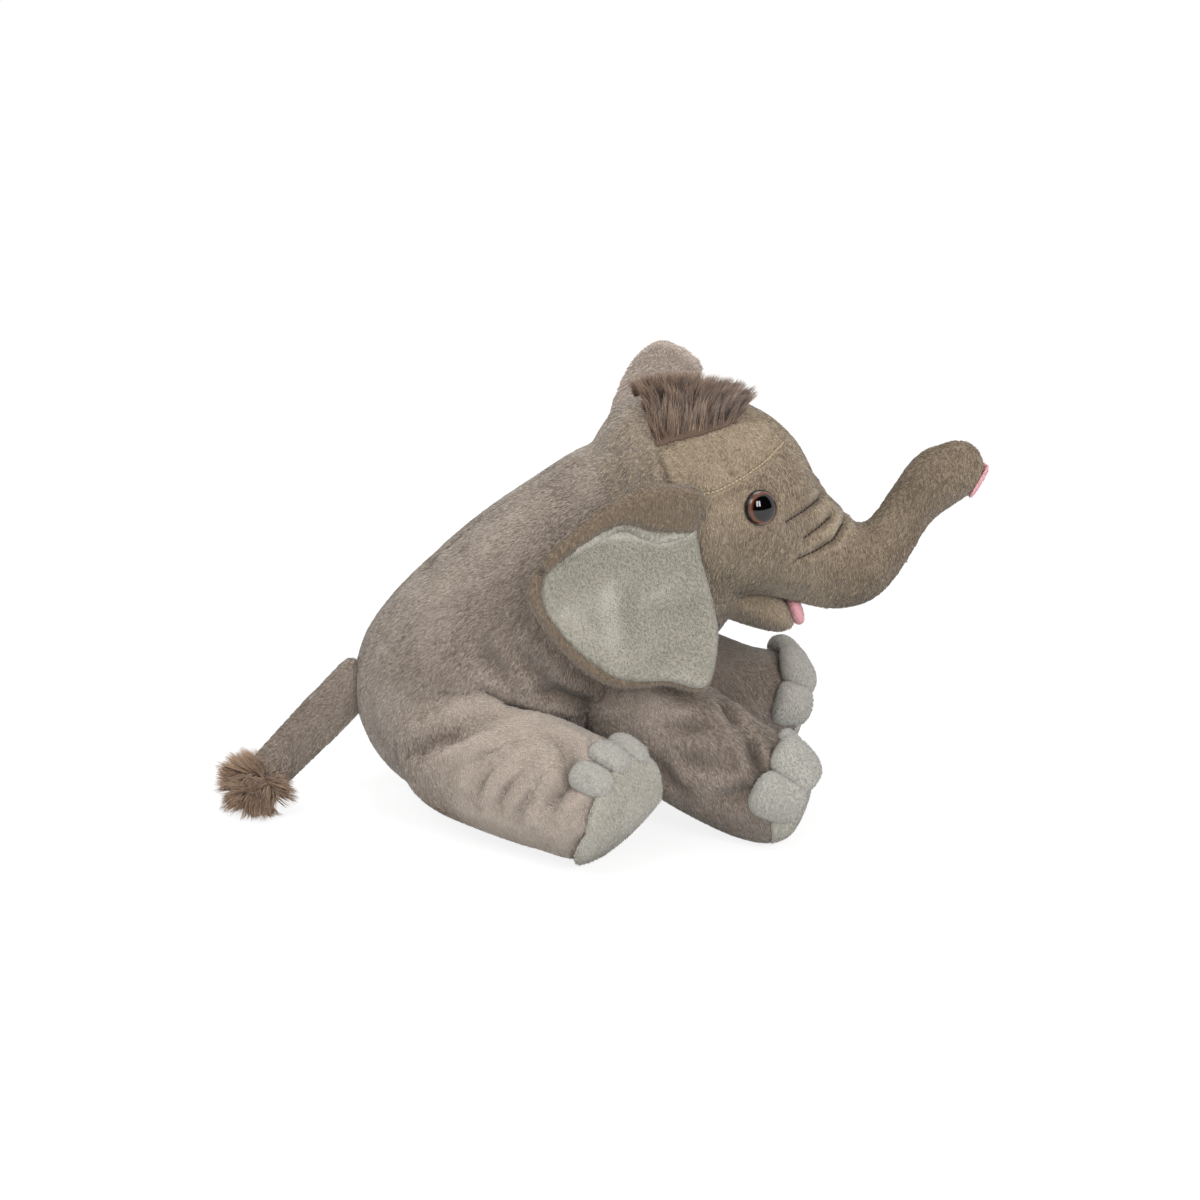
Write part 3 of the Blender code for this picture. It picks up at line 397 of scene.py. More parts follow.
def stuffed_tube(
    rings: Sequence[Ring], across: Array, start_dome: float, end_dome: float, steps: int = 6
) -> tuple[Array, Faces]:
    """A closed form through cross-sections, with a dome on each end.

    Args:
        rings: The cross-sections in order.
        across: The direction of their widths.
        start_dome: How far the first end bulges.
        end_dome: How far the last end bulges.
        steps: Rings made for each pair of cross-sections.

    Returns:
        The points and the faces.
    """
    segments = 40
    rows = rounded_run(np.array([[*r.centre, r.height, r.width] for r in rings]), steps)
    tangents = unit(np.gradient(rows[:, :3], axis=0))
    angles = np.linspace(0, 2 * np.pi, segments, endpoint=False)

    def loop(k: int, shift: float, shrink: float) -> Array:
        """The ring at a row, moved along the form and shrunk."""
        tall = unit(np.cross(tangents[k], across))
        centre = rows[k, :3] + tangents[k] * shift
        up = np.cos(angles)[:, None] * tall * rows[k, 3] * shrink
        return centre + up + np.sin(angles)[:, None] * across * rows[k, 4] * shrink

    turns = np.radians([78, 62, 44, 26])
    loops = [loop(0, -start_dome * math.sin(a), math.cos(a)) for a in turns]
    loops += [loop(k, 0.0, 1.0) for k in range(len(rows))]
    loops += [loop(len(rows) - 1, end_dome * math.sin(a), math.cos(a)) for a in turns[::-1]]
    first = rows[0, :3] - tangents[0] * start_dome
    last = rows[-1, :3] + tangents[-1] * end_dome
    points = np.concatenate([[first], *loops, [last]])
    faces = ring_faces(len(loops), segments)
    volume = sum(float(np.dot(points[f[0]], np.cross(points[f[1]], points[f[2]]))) for f in faces)
    return points, faces if volume > 0 else [f[::-1] for f in faces]


def pad(name: str, centre: Array, axes: Sequence[Array], dome: float, edge: float) -> Object:
    """A round panel that domes over its middle and rolls under at its edge.

    Args:
        name: The piece's name.
        centre: The middle of its underside.
        axes: Its two half axes, and the unit way it faces.
        dome: How high its middle stands.
        edge: How high its edge stands.

    Returns:
        The panel.
    """
    first, second, out = axes
    rings, segments, flat, rolled = 14, 64, 0.9, 0.1
    points = [centre + out * (dome + edge)]
    for k in range(1, rings + 1):
        share = k / rings
        under = max(0.0, (share - flat) / rolled)
        height = edge + dome * (1 - share**2) - edge * under**2
        for a in np.linspace(0, 2 * np.pi, segments, endpoint=False):
            around = first * math.cos(a) + second * math.sin(a)
            points.append(centre + around * share + out * height)
    points.append(centre - out * edge)
    return outward(new_object(name, np.array(points), ring_faces(rings, segments)))


def cushion(name: str, centre: Array, axes: Sequence[Array], bend: float = 0.0) -> Object:
    """A small soft pad with full corners.

    Args:
        name: The piece's name.
        centre: Its middle.
        axes: Its three half axes, the last one the way it faces.
        bend: The radius of the form it wraps around, or 0 for a flat pad.

    Returns:
        The pad.
    """
    mesh = bpy.data.meshes.new(name)
    wide, facing = float(np.linalg.norm(axes[0])), unit(axes[2])
    with editing(mesh) as builder:
        bmesh.ops.create_uvsphere(builder, u_segments=28, v_segments=18, radius=1.0)
        for vertex in builder.verts:
            x, y, z = vertex.co
            full = (abs(x) ** 2.7 + abs(y) ** 2.7 + abs(z) ** 2.2) ** (-1 / 2.5)
            x, y, z = x * full, y * full, z * full
            sink = (x * wide) ** 2 / (2 * bend) if bend else 0.0
            vertex.co = Vector(centre + axes[0] * x + axes[1] * y + axes[2] * z - facing * sink)
    return outward(link(name, mesh))


# ---------------------------------------------------------------------------------------------
# The photograph's camera


@dataclass
class PhotoCamera:
    """The camera at the photograph's angle, and its rays through the photograph's pixels."""

    target: Place = (-0.003852, 0.0, 0.079)
    distance: float = 1.1
    elevation: float = math.radians(17)
    turn: float = math.radians(6)
    focal_pixels: float = 2750.0
    image_pixels: float = 1200.0
    sensor: float = 36.0

    def axes(self) -> tuple[Array, Array, Array]:
        """The camera's right, up and forward directions."""
        flat = np.array((math.sin(self.turn), math.cos(self.turn), 0.0))
        forward = flat * math.cos(self.elevation) - UP * math.sin(self.elevation)
        right = np.array((math.cos(self.turn), -math.sin(self.turn), 0.0))
        return right, np.cross(right, forward), forward

    def place(self) -> Array:
        """Where the camera stands."""
        return np.array(self.target) - self.axes()[2] * self.distance

    def ray(self, pixel: Pixel) -> Array:
        """The direction of the ray through a pixel of the photograph."""
        right, up, forward = self.axes()
        half = self.image_pixels / 2
        x = (pixel[0] - half) / self.focal_pixels
        y = (half - pixel[1]) / self.focal_pixels
        return unit(forward + right * x + up * y)

    def trace(self, pixels: Sequence[Pixel], surface: BVHTree, count: int = 16) -> Array:
        """Lays a drawn line on a surface.

        Args:
            pixels: Corners of the line in the photograph.
            surface: What the line lies on.
            count: How many points to lay.

        Returns:
            Points on the surface along the line.
        """
        origin = Vector(self.place())
        rays = [Vector(self.ray(tuple(p))) for p in resample(np.array(pixels, float), count)]
        found = [surface.ray_cast(origin, ray)[0] for ray in rays]
        return np.array([tuple(place) for place in found if place is not None])

    def project(self, points: Array) -> Array:
        """Where points show in the photograph, as pixels to the right and down."""
        right, up, forward = self.axes()
        seen = points - self.place()
        depth = seen @ forward
        half = self.image_pixels / 2
        across = half + self.focal_pixels * (seen @ right) / depth
        down = half - self.focal_pixels * (seen @ up) / depth
        return np.stack([across, down], axis=-1)

    def near_side(self, points: Array) -> Array:
        """Where points show in the photograph, with the far side as the near side's mirror."""
        return self.project(np.where(points[:, 1:2] > 0, points * MIRROR, points))

    def build(self) -> None:
        """Adds the camera to the scene."""
        data = bpy.data.cameras.new("photo_camera")
        data.sensor_width = self.sensor
        data.lens = self.focal_pixels / self.image_pixels * self.sensor
        data.clip_end = 50.0
        camera = link("photo_camera", data)
        camera.location = Vector(self.place())
        camera.rotation_euler = Vector(self.axes()[2]).to_track_quat("-Z", "Y").to_euler()
        bpy.context.scene.camera = camera


CAMERA = PhotoCamera()


# ---------------------------------------------------------------------------------------------
# Node trees


class Wire:
    """A node's output that takes part in sums."""

    def __init__(self, bench: "Bench", socket: bpy.types.NodeSocket) -> None:
        """Keeps the socket and the tree it belongs to."""
        self.bench = bench
        self.socket = socket

    def other(self, name: str) -> "Wire":
        """Another output of the same node."""
        return Wire(self.bench, self.socket.node.outputs[name])

    def math(self, operation: str, *others: Any) -> "Wire":
        """A Math node on this value and others."""
        sockets = dict(enumerate((self, *others)))
        return self.bench.add("ShaderNodeMath", {"operation": operation}, sockets)

    def vector(self, operation: str, *others: Any, out: str = "Vector") -> "Wire":
        """A Vector Math node on this vector and others."""
        sockets: dict[Any, Any] = dict(enumerate((self, *others)))
        if operation == "SCALE":
            sockets = {0: self, "Scale": others[0]}
        return self.bench.add("ShaderNodeVectorMath", {"operation": operation}, sockets, out)

    def __add__(self, other: Any) -> "Wire":
        """The sum with a value on either side."""
        return self.math("ADD", other)

    def __sub__(self, other: Any) -> "Wire":
        """The difference from a value."""
        return self.math("SUBTRACT", other)

    def __rsub__(self, other: Any) -> "Wire":
        """The difference of a value on the left from this one."""
        return self.bench.add("ShaderNodeMath", {"operation": "SUBTRACT"}, {0: other, 1: self})

    def __mul__(self, other: Any) -> "Wire":
        """The product with a value on either side."""
        return self.math("MULTIPLY", other)

    __radd__ = __add__
    __rmul__ = __mul__

    def clamped(self) -> "Wire":
        """The value held between 0 and 1."""
        return self.bench.add("ShaderNodeClamp", None, {"Value": self}, "Result")

    def step(self, count: int) -> "Wire":
        """Which of a count of equal steps from 0 to 1 the value lies in."""
        return (self.clamped() * (count - 0.001)).math("FLOOR")


class Bench:
    """A node tree being built."""

    def __init__(self, tree: bpy.types.NodeTree) -> None:
        """Keeps the tree."""
        self.tree = tree

    def add(
        self,
        kind: str,
        settings: dict[str, Any] | None = None,
        sockets: dict[Any, Any] | None = None,
        out: int | str = 0,
    ) -> Wire:
        """Adds a node.

        Args:
            kind: The node's type.
            settings: Its own settings, set first; stops are a colour ramp's.
            sockets: Values or wires for its inputs, by name or number.
            out: Which output to return.

        Returns:
            The chosen output.
        """
        node = self.tree.nodes.new(kind)
        for key, value in (settings or {}).items():
            if key == "stops":
                self._ramp(node, value)
            else:
                setattr(node, key, value)
        for key, value in (sockets or {}).items():
            if isinstance(value, Wire):
                self.tree.links.new(value.socket, node.inputs[key])
            else:
                node.inputs[key].default_value = value
        return Wire(self, node.outputs[out])

    @staticmethod
    def _ramp(node: bpy.types.Node, stops: Sequence[tuple[float, Sequence[float]]]) -> None:
        """Sets a colour ramp's stops."""
        elements = node.color_ramp.elements
        while len(elements) < len(stops):
            elements.new(0.5)
        for element, (place, colour) in zip(elements, stops):
            element.position = place
            element.color = colour

    def noise(
        self,
        place: Wire,
        scale: float | Wire,
        detail: float,
        rough: float = 0.5,
        out: int | str = 0,
    ) -> Wire:
        """A soft noise over places."""
        sockets = {"Vector": place, "Scale": scale, "Detail": detail, "Roughness": rough}
        return self.add("ShaderNodeTexNoise", None, sockets, out)

    def named(self, name: str, kind: str = "FLOAT") -> Wire:
        """A value that a mesh holds for each point, for Geometry Nodes."""
        return self.add("GeometryNodeInputNamedAttribute", {"data_type": kind}, {"Name": name})

    def random(self, low: float, high: float, seed: int | Wire = 0) -> Wire:
        """A random number for each point."""
        sockets = {2: low, 3: high, "Seed": seed}
        return self.add("FunctionNodeRandomValue", {"data_type": "FLOAT"}, sockets, 1)

    def stray(self, reach: float, seed: int | Wire = 0) -> Wire:
        """A random vector for each point, within a reach each way."""
        sockets = {0: (-reach,) * 3, 1: (reach,) * 3, "Seed": seed}
        return self.add("FunctionNodeRandomValue", {"data_type": "FLOAT_VECTOR"}, sockets)

    def seen(self) -> Wire:
        """One for each ray that the camera, a mirror or a clear piece sends, and zero else."""
        path = self.add("ShaderNodeLightPath")
        seen = path.other("Is Camera Ray") + path.other("Is Glossy Ray")
        return (seen + path.other("Is Transmission Ray")).clamped()

    def end(self, kind: str, key: str | int, value: Wire) -> None:
        """Adds the tree's last node."""
        node = self.tree.nodes.new(kind)
        self.tree.links.new(value.socket, node.inputs[key])

    def principled(self, sockets: dict[str, Any]) -> None:
        """Ends a material with a Principled shader."""
        shader = self.add("ShaderNodeBsdfPrincipled", None, sockets)
        self.end("ShaderNodeOutputMaterial", "Surface", shader)


def new_material(name: str) -> tuple[Material, Bench]:
    """An empty node material and the bench that its nodes are made on."""
    made = bpy.data.materials.new(name)
    made.use_nodes = True
    made.node_tree.nodes.clear()
    return made, Bench(made.node_tree)


def new_tree(name: str, inputs: Iterable[str]) -> Bench:
    """A Geometry Nodes tree with named inputs, numbers but for a whole seed, on a bench."""
    tree = bpy.data.node_groups.new(name, "GeometryNodeTree")
    sockets = [("Geometry", "INPUT", "Geometry")]
    sockets += [(label, "INPUT", "Int" if label == "seed" else "Float") for label in inputs]
    for label, way, kind in (*sockets, ("Geometry", "OUTPUT", "Geometry")):
        tree.interface.new_socket(label, in_out=way, socket_type=f"NodeSocket{kind}")
    return Bench(tree)


def run_tree(made: Object, tree: bpy.types.NodeTree, values: dict[str, Any]) -> Object:
    """Runs a Geometry Nodes tree on an object and keeps the result as a plain mesh.

    Args:
        made: The object.
        tree: The tree.
        values: The tree's inputs by name.

    Returns:
        The same object with the result as its mesh.
    """
    modifier = made.modifiers.new(tree.name, "NODES")
    modifier.node_group = tree
    for item in tree.interface.items_tree:
        if item.in_out == "INPUT" and item.name in values:
            modifier[item.identifier] = values[item.name]
    settle(made).data.shade_smooth()
    return made


# ---------------------------------------------------------------------------------------------
# Finishes and the studio


@dataclass(frozen=True)
class ClothFinish:
    """A woven ground seen between the pile: two tones in soft patches, with a grainy relief, pushed
    darker or lighter by the mesh's shade values, which hold painted shade and light as well as
    tone.
    """

    name: str
    light: Colour
    dark: Colour
    patch: float = 32.0
    grain: float = 1500.0
    relief: float = 0.0006
    sheen: float = 0.25
    roughness: float = 0.95

    def build(self) -> Material:
        """The material."""
        made, bench = new_material(self.name)
        place = bench.add("ShaderNodeTexCoord", out="Object")
        patches = bench.noise(place, self.patch, 3.0, 0.6)
        grain = bench.noise(place, self.grain, 2.0, 0.7)
        shade = bench.add("ShaderNodeAttribute", {"attribute_name": "shade"}, None, "Fac")
        share = (patches * 1.5 + grain * 1.1 - 0.8 - shade).clamped()
        mix = {"Factor": share, 6: linear(self.dark), 7: linear(self.light)}
        bump = {"Height": grain, "Distance": self.relief, "Strength": 0.7}
        sockets = {
            "Base Color": bench.add("ShaderNodeMix", {"data_type": "RGBA"}, mix, 2),
            "Roughness": grain * 0.1 + (self.roughness - 0.05),
            "Normal": bench.add("ShaderNodeBump", None, bump),
            "Sheen Weight": self.sheen,
            "Sheen Roughness": 0.5,
            "Specular IOR Level": 0.15,
        }
        bench.principled(sockets)
        return made


@dataclass(frozen=True)
class PileFinish:
    """The tones of a pile, from its darkest hairs to its lightest."""

    name: str
    tones: tuple[Colour, ...]
    sheen: float = 0.3
    roughness: float = 0.85

    def build(self) -> list[Material]:
        """One plain material for each tone."""
        return [self._tone(k, tone) for k, tone in enumerate(self.tones)]

    def _tone(self, number: int, tone: Colour) -> Material:
        """The material of one tone."""
        made, bench = new_material(f"{self.name}_{number}")
        sockets = {
            "Base Color": linear(tone),
            "Roughness": self.roughness,
            "Sheen Weight": self.sheen,
            "Specular IOR Level": 0.2,
        }
        bench.principled(sockets)
        return made


@dataclass(frozen=True)
class EyeFinish:
    """Polished plastic: a black pupil in a brown ring with a dark edge."""

    black: Colour = (5, 4, 4)
    brown: Colour = (60, 30, 16)
    amber: Colour = (100, 52, 28)
    edge: Colour = (16, 11, 9)

    def build(self) -> Material:
        """The material, which reads the eye's own ring attribute."""
        made, bench = new_material("eye_gloss")
        ring = bench.add("ShaderNodeAttribute", {"attribute_name": "ring"}, None, "Fac")
        tones = (self.black, self.black, self.brown, self.amber, self.brown, self.edge, self.edge)
        places = (0.0, 0.71, 0.75, 0.84, 0.92, 0.962, 1.0)
        stops = [(place, linear(tone)) for place, tone in zip(places, tones)]
        colour = bench.add("ShaderNodeValToRGB", {"stops": stops}, {"Fac": ring})
        gloss = {"Base Color": colour, "Roughness": 0.05, "Specular IOR Level": 0.65}
        bench.principled(gloss)
        return made


@dataclass(frozen=True)
class FloorFinish:
    """A white floor that the camera sees as white, with the toy's soft shadow left on it."""

    shadow_share: float = 0.22
    glow: float = 1.09

    def build(self) -> Material:
        """The material."""
        made, bench = new_material("white_floor")
        paint = bench.add("ShaderNodeBsdfDiffuse", None, {"Color": (0.92, 0.92, 0.92, 1.0)})
        glow = bench.add("ShaderNodeEmission", None, {"Color": (1, 1, 1, 1), "Strength": self.glow})
        share = bench.seen() * (1 - self.shadow_share)
        shader = bench.add("ShaderNodeMixShader", None, {0: share, 1: paint, 2: glow})
        bench.end("ShaderNodeOutputMaterial", "Surface", shader)
        return made


@dataclass(frozen=True)
class Lamp:
    """A soft lamp that faces the toy."""

    name: str
    place: Place
    width: float
    height: float
    power: float

    def build(self) -> None:
        """Adds the lamp."""
        data = bpy.data.lights.new(self.name, "AREA")
        data.shape = "RECTANGLE"
        data.size = self.width
        data.size_y = self.height
        data.energy = self.power
        lamp = link(self.name, data)
        lamp.location = self.place
        aim = Vector((0, 0, 0.07)) - Vector(self.place)
        lamp.rotation_euler = aim.to_track_quat("-Z", "Y").to_euler()


@dataclass
class Studio:
    """The white floor, the soft light and the white surroundings."""

    floor_half: float = 9.0
    floor_drop: float = 0.0004
    sky: float = 0.74
    card: tuple[Place, ...] = (
        (-1.5, -3.0, 0.1),
        (3.6, -0.5, 0.1),
        (3.6, -0.5, 3.4),
        (-1.5, -3.0, 3.4),
    )
    lamps: tuple[Lamp, ...] = (
        Lamp("key_lamp", (-1.2, -1.15, 1.8), 1.0, 1.0, 14.0),
        Lamp("back_lamp", (-1.5, 0.6, 1.0), 0.8, 0.8, 6.0),
        Lamp("window_pane_0", (0.42, -1.5, 0.95), 0.26, 0.75, 7.0),
        Lamp("window_pane_1", (0.80, -1.5, 0.95), 0.26, 0.75, 7.0),
        Lamp("top_lamp", (0.1, 0.6, 1.9), 1.1, 1.1, 10.0),
    )

    def build(self) -> None:
        """Adds the floor, the card, the lamps and the world."""
        h, z = self.floor_half, -self.floor_drop
        corners = ((-h, -h, z), (h, -h, z), (h, h, z), (-h, h, z))
        self._sheet("floor", corners, FloorFinish().build())
        self._card()
        self._world()
        for lamp in self.lamps:
            lamp.build()
        bpy.context.scene.view_settings.view_transform = "Standard"

    @staticmethod
    def _sheet(name: str, corners: Sequence[Place], finish: Material) -> Object:
        """A flat piece of the studio."""
        made = new_object(name, np.array(corners), [(0, 1, 2, 3)])
        made.data.materials.append(finish)
        return made

    def _card(self) -> None:
        """A black card in front of the toy that only its shiny eyes mirror."""
        paper, bench = new_material("black_paper")
        black = bench.add("ShaderNodeBsdfDiffuse", None, {"Color": (0.01, 0.01, 0.01, 1.0)})
        bench.end("ShaderNodeOutputMaterial", "Surface", black)
        card = self._sheet("black_card", self.card, paper)
        card.visible_camera = False
        card.visible_diffuse = False
        card.visible_shadow = False

    def _world(self) -> None:
        """White surroundings that also fill the shadows."""
        world = bpy.data.worlds.new("white_room")
        world.use_nodes = True
        world.node_tree.nodes.clear()
        bench = Bench(world.node_tree)
        strength = bench.seen() * (1 - self.sky) + self.sky
        sockets = {"Color": (1, 1, 1, 1), "Strength": strength}
        glow = bench.add("ShaderNodeBackground", None, sockets)
        bench.end("ShaderNodeOutputWorld", "Surface", glow)
        bpy.context.scene.world = world


# ---------------------------------------------------------------------------------------------
# Pile, locks and stitches by Geometry Nodes


@dataclass(frozen=True)
class Pile:
    """How a pile grows: its density, its hairs' size, and how they lie."""

    density: float = 2.1e6
    length: float = 0.0017
    width: float = 0.00043
    lift: float = 0.42
    scatter: float = 0.7
    whorl: float = 70.0
    patch: float = 26.0
    tone_spread: float = 0.75
    floor: float = 0.0012
    seed: int = 7


@dataclass(frozen=True)
class Locks:
    """How a long pile grows: its density, its strands' size, its clumps and their bend."""

    density: float = 3.0e6
    length: float = 0.009
    width: float = 0.00051
    clump: float = 240.0
    gather: float = 0.55
    scatter: float = 0.22
    seed: int = 5


@dataclass(frozen=True)
class Stitches:
    """How a row is sewn: the space from stitch to stitch, and each one's length and width."""

    spacing: float
    length: float
    width: float = 0.00065


SHORT_NAP = Pile(density=2.05e6, length=0.0009, width=0.00039, lift=0.8, scatter=0.9, patch=40.0)


class GrownTree:
    """A Geometry Nodes tree that sets small pieces on a mesh, with a pattern's values as inputs."""

    pattern: type = Pile

    def __init__(self, name: str, tones: Sequence[Material]) -> None:
        """Builds the tree for a set of tones, from dark to light."""
        self.bench = new_tree(name, [f.name for f in fields(self.pattern)])
        self.given = self.bench.add("NodeGroupInput")
        self._lay_out(tones)

    def _lay_out(self, tones: Sequence[Material]) -> None:
        """Lays out the nodes from the mesh to the coloured pieces."""
        raise NotImplementedError

    def _roots(self) -> Wire:
        """Points spread over the mesh."""
        given = self.given
        spread = {"Mesh": given, "Density": given.other("density"), "Seed": given.other("seed")}
        return self.bench.add("GeometryNodeDistributePointsOnFaces", None, spread)

    def _plant(
        self,
        points: Wire,
        piece: Wire,
        way: Wire,
        length: Wire,
        tones: Sequence[Material],
        tone: Wire | None = None,
    ) -> None:
        """Sets a piece at each point, gives it its tone and ends the tree.

        Args:
            points: The points.
            piece: What to set, of unit height and width.
            way: The direction of its height.
            length: Its height.
            tones: The materials.
            tone: The number of each piece's material, or None where there is only one.
        """
        bench, width = self.bench, self.given.other("width")
        if tone is not None:
            stored = {"Geometry": points, "Name": "tone", "Value": tone}
            points = bench.add("GeometryNodeStoreNamedAttribute", {"data_type": "FLOAT"}, stored)
        turn = bench.add("FunctionNodeAlignRotationToVector", {"axis": "Z"}, {"Vector": way})
        size = bench.add("ShaderNodeCombineXYZ", None, {0: width, 1: width, 2: length})
        sockets = {"Points": points, "Instance": piece, "Rotation": turn, "Scale": size}
        made = bench.add("GeometryNodeInstanceOnPoints", None, sockets)
        made = bench.add("GeometryNodeRealizeInstances", None, {"Geometry": made})
        for k, material in enumerate(tones):
            sockets = {"Geometry": made, "Material": material}
            if tone is not None:
                sockets["Selection"] = bench.named("tone").math("COMPARE", float(k), 0.5)
            made = bench.add("GeometryNodeSetMaterial", None, sockets)
        bench.end("NodeGroupOutput", 0, made)

    def grow(self, ground: Object, name: str, pattern: Pile | Locks) -> Object:
        """Grows the pieces of one mesh.

        Args:
            ground: The mesh, with nap, pile and shade values.
            name: The name of the new piece.
            pattern: How the pieces grow.

        Returns:
            The pieces as one plain mesh object.
        """
        return run_tree(link(name, ground.data.copy()), self.bench.tree, asdict(pattern))


class PileTree(GrownTree):
    """A tree that grows tapered hairs along a skin's own nap."""

    def _direction(self, normal: Wire) -> Wire:
        """The way each hair points: along the nap, scattered, and lifted off the skin."""
        bench, given = self.bench, self.given
        place = bench.add("GeometryNodeInputPosition")
        swirl = bench.noise(place, given.other("whorl"), 2.0, out="Color")
        swirl = swirl.vector("SUBTRACT", (0.5, 0.5, 0.5)).vector("SCALE", 2.2)
        stray = bench.stray(0.6, given.other("seed"))
        loose = swirl.vector("ADD", stray).vector("SCALE", given.other("scatter"))
        wild = bench.named("nap", "FLOAT_VECTOR").vector("ADD", loose)
        out = normal.vector("SCALE", wild.vector("DOT_PRODUCT", normal, out="Value"))
        flat = wild.vector("SUBTRACT", out).vector("NORMALIZE")
        return flat.vector("ADD", normal.vector("SCALE", given.other("lift")))

    def _tone(self, count: int) -> Wire:
        """Which tone each hair takes: soft patches, a random share, and the stored shade, which
        holds painted shade and light as well as tone.
        """
        bench, given = self.bench, self.given
        soft = bench.noise(bench.add("GeometryNodeInputPosition"), given.other("patch"), 3.0)
        chance = bench.random(0.0, 1.0, given.other("seed") + 5)
        level = (soft - 0.5) * 1.8 + (chance - 0.5) * given.other("tone_spread") + 0.5
        return (level - bench.named("shade")).step(count)

    def _lay_out(self, tones: Sequence[Material]) -> None:
        """Lays out the nodes from the skin to the coloured hairs."""
        bench, given, roots = self.bench, self.given, self._roots()
        place = bench.add("GeometryNodeInputPosition")
        height = bench.add("ShaderNodeSeparateXYZ", None, {0: place}, "Z")
        trim = bench.named("pile")
        spare = height.math("LESS_THAN", given.other("floor")) + trim.math("LESS_THAN", 0.05)
        sockets = {"Geometry": roots, "Selection": spare}
        kept = bench.add("GeometryNodeDeleteGeometry", None, sockets)
        cone = {"Vertices": 3, "Radius Top": 0.0, "Radius Bottom": 0.5, "Depth": 1.0}
        hair = bench.add("GeometryNodeMeshCone", {"fill_type": "NONE"}, cone)
        way = self._direction(roots.other("Normal"))
        length = bench.random(0.65, 1.2) * given.other("length") * trim
        self._plant(kept, hair, way, length, tones, self._tone(len(tones)))


class LockTree(GrownTree):
    """A tree that grows long strands gathered into clumps."""

    pattern = Locks

    def _strand(self) -> Wire:
        """A bent strand of unit length that tapers to a point."""
        bench = self.bench
        cone = {"Vertices": 3, "Side Segments": 3, "Radius Top": 0.0, "Radius Bottom": 0.5}
        strand = bench.add("GeometryNodeMeshCone", {"fill_type": "NONE"}, cone | {"Depth": 1.0})
        place = bench.add("GeometryNodeInputPosition")
        height = bench.add("ShaderNodeSeparateXYZ", None, {0: place}, "Z")
        bend = bench.add("ShaderNodeCombineXYZ", None, {0: height * height * 0.22})
        return bench.add("GeometryNodeSetPosition", None, {"Geometry": strand, "Offset": bend})

    def _lay_out(self, tones: Sequence[Material]) -> None:
        """Lays out the nodes from the ground to the coloured strands."""
        bench, given, roots = self.bench, self.given, self._roots()
        place = bench.add("GeometryNodeInputPosition")
        cells = {"Vector": place, "Scale": given.other("clump")}
        cell = bench.add("ShaderNodeTexVoronoi", None, cells, "Position")
        inward = cell.vector("SUBTRACT", place).vector("SCALE", given.other("gather"))
        tilt = bench.add("ShaderNodeTexWhiteNoise", None, {"Vector": cell}, "Color")
        tilt = tilt.vector("SUBTRACT", (0.5, 0.5, 0.5)).vector("SCALE", given.other("scatter") * 2)
        way = bench.named("nap", "FLOAT_VECTOR").vector("NORMALIZE").vector("ADD", tilt)
        way = way.vector("ADD", bench.stray(0.12)).vector("SCALE", given.other("length"))
        way = way.vector("ADD", inward)
        chance = bench.random(0.0, 1.0, given.other("seed") + 3)
        level = (bench.noise(cell, 120.0, 2.0) - 0.5) * 1.2 + (chance - 0.5) * 0.8 + 0.5
        # The stored shade darkens or lightens the strands: painted shade and light as well as tone.
        tone = (level - bench.named("shade")).step(len(tones))
        length = (chance * 0.5 + 0.7) * given.other("length")
        self._plant(roots, self._strand(), way, length, tones, tone)


class StitchTree(GrownTree):
    """A tree that sews a row of stitches along a line."""

    pattern = Stitches

    def _lay_out(self, tones: Sequence[Material]) -> None:
        """Lays out the nodes from the line to the stitches."""
        bench, given = self.bench, self.given
        line = bench.add("GeometryNodeMeshToCurve", None, {"Mesh": given})
        spots = {"Curve": line, "Length": given.other("spacing")}
        spots = bench.add("GeometryNodeCurveToPoints", {"mode": "LENGTH"}, spots)
        ball = {"Segments": 6, "Rings": 5, "Radius": 0.5}
        ball = bench.add("GeometryNodeMeshUVSphere", None, ball)
        self._plant(spots, ball, spots.other("Tangent"), given.other("length"), tones)

    def sew(self, name: str, line: Array, spacing: float = 0.0021) -> Object:
        """Sews one row of stitches as a plain mesh object."""
        mesh = bpy.data.meshes.new(name)
        pairs = [(k, k + 1) for k in range(len(line) - 1)]
        mesh.from_pydata([tuple(p) for p in line], pairs, [])
        values = asdict(Stitches(spacing, spacing * 0.95))
        made = run_tree(link(name, mesh), self.bench.tree, values)
        return made


# ---------------------------------------------------------------------------------------------
# Stuffed skins


@dataclass
class Crease:
    """A pressed line: where the photograph shows it, its depth and width, its sides, and its shade,
    which paints shade into the groove and light onto the sides; a negative shade makes a pale seam
    line instead.
    """

    pixels: Sequence[Pixel]
    depth: float = 0.0017
    width: float = 0.0032
    ridge: float = 0.4
    shade: float = 0.3

    def laid(self, guide: BVHTree, sign: float) -> Array:
        """Its line on the near side of the toy, or on the far side as the mirror image."""
        line = CAMERA.trace(self.pixels, guide)
        return line * MIRROR if sign > 0 and len(line) else line


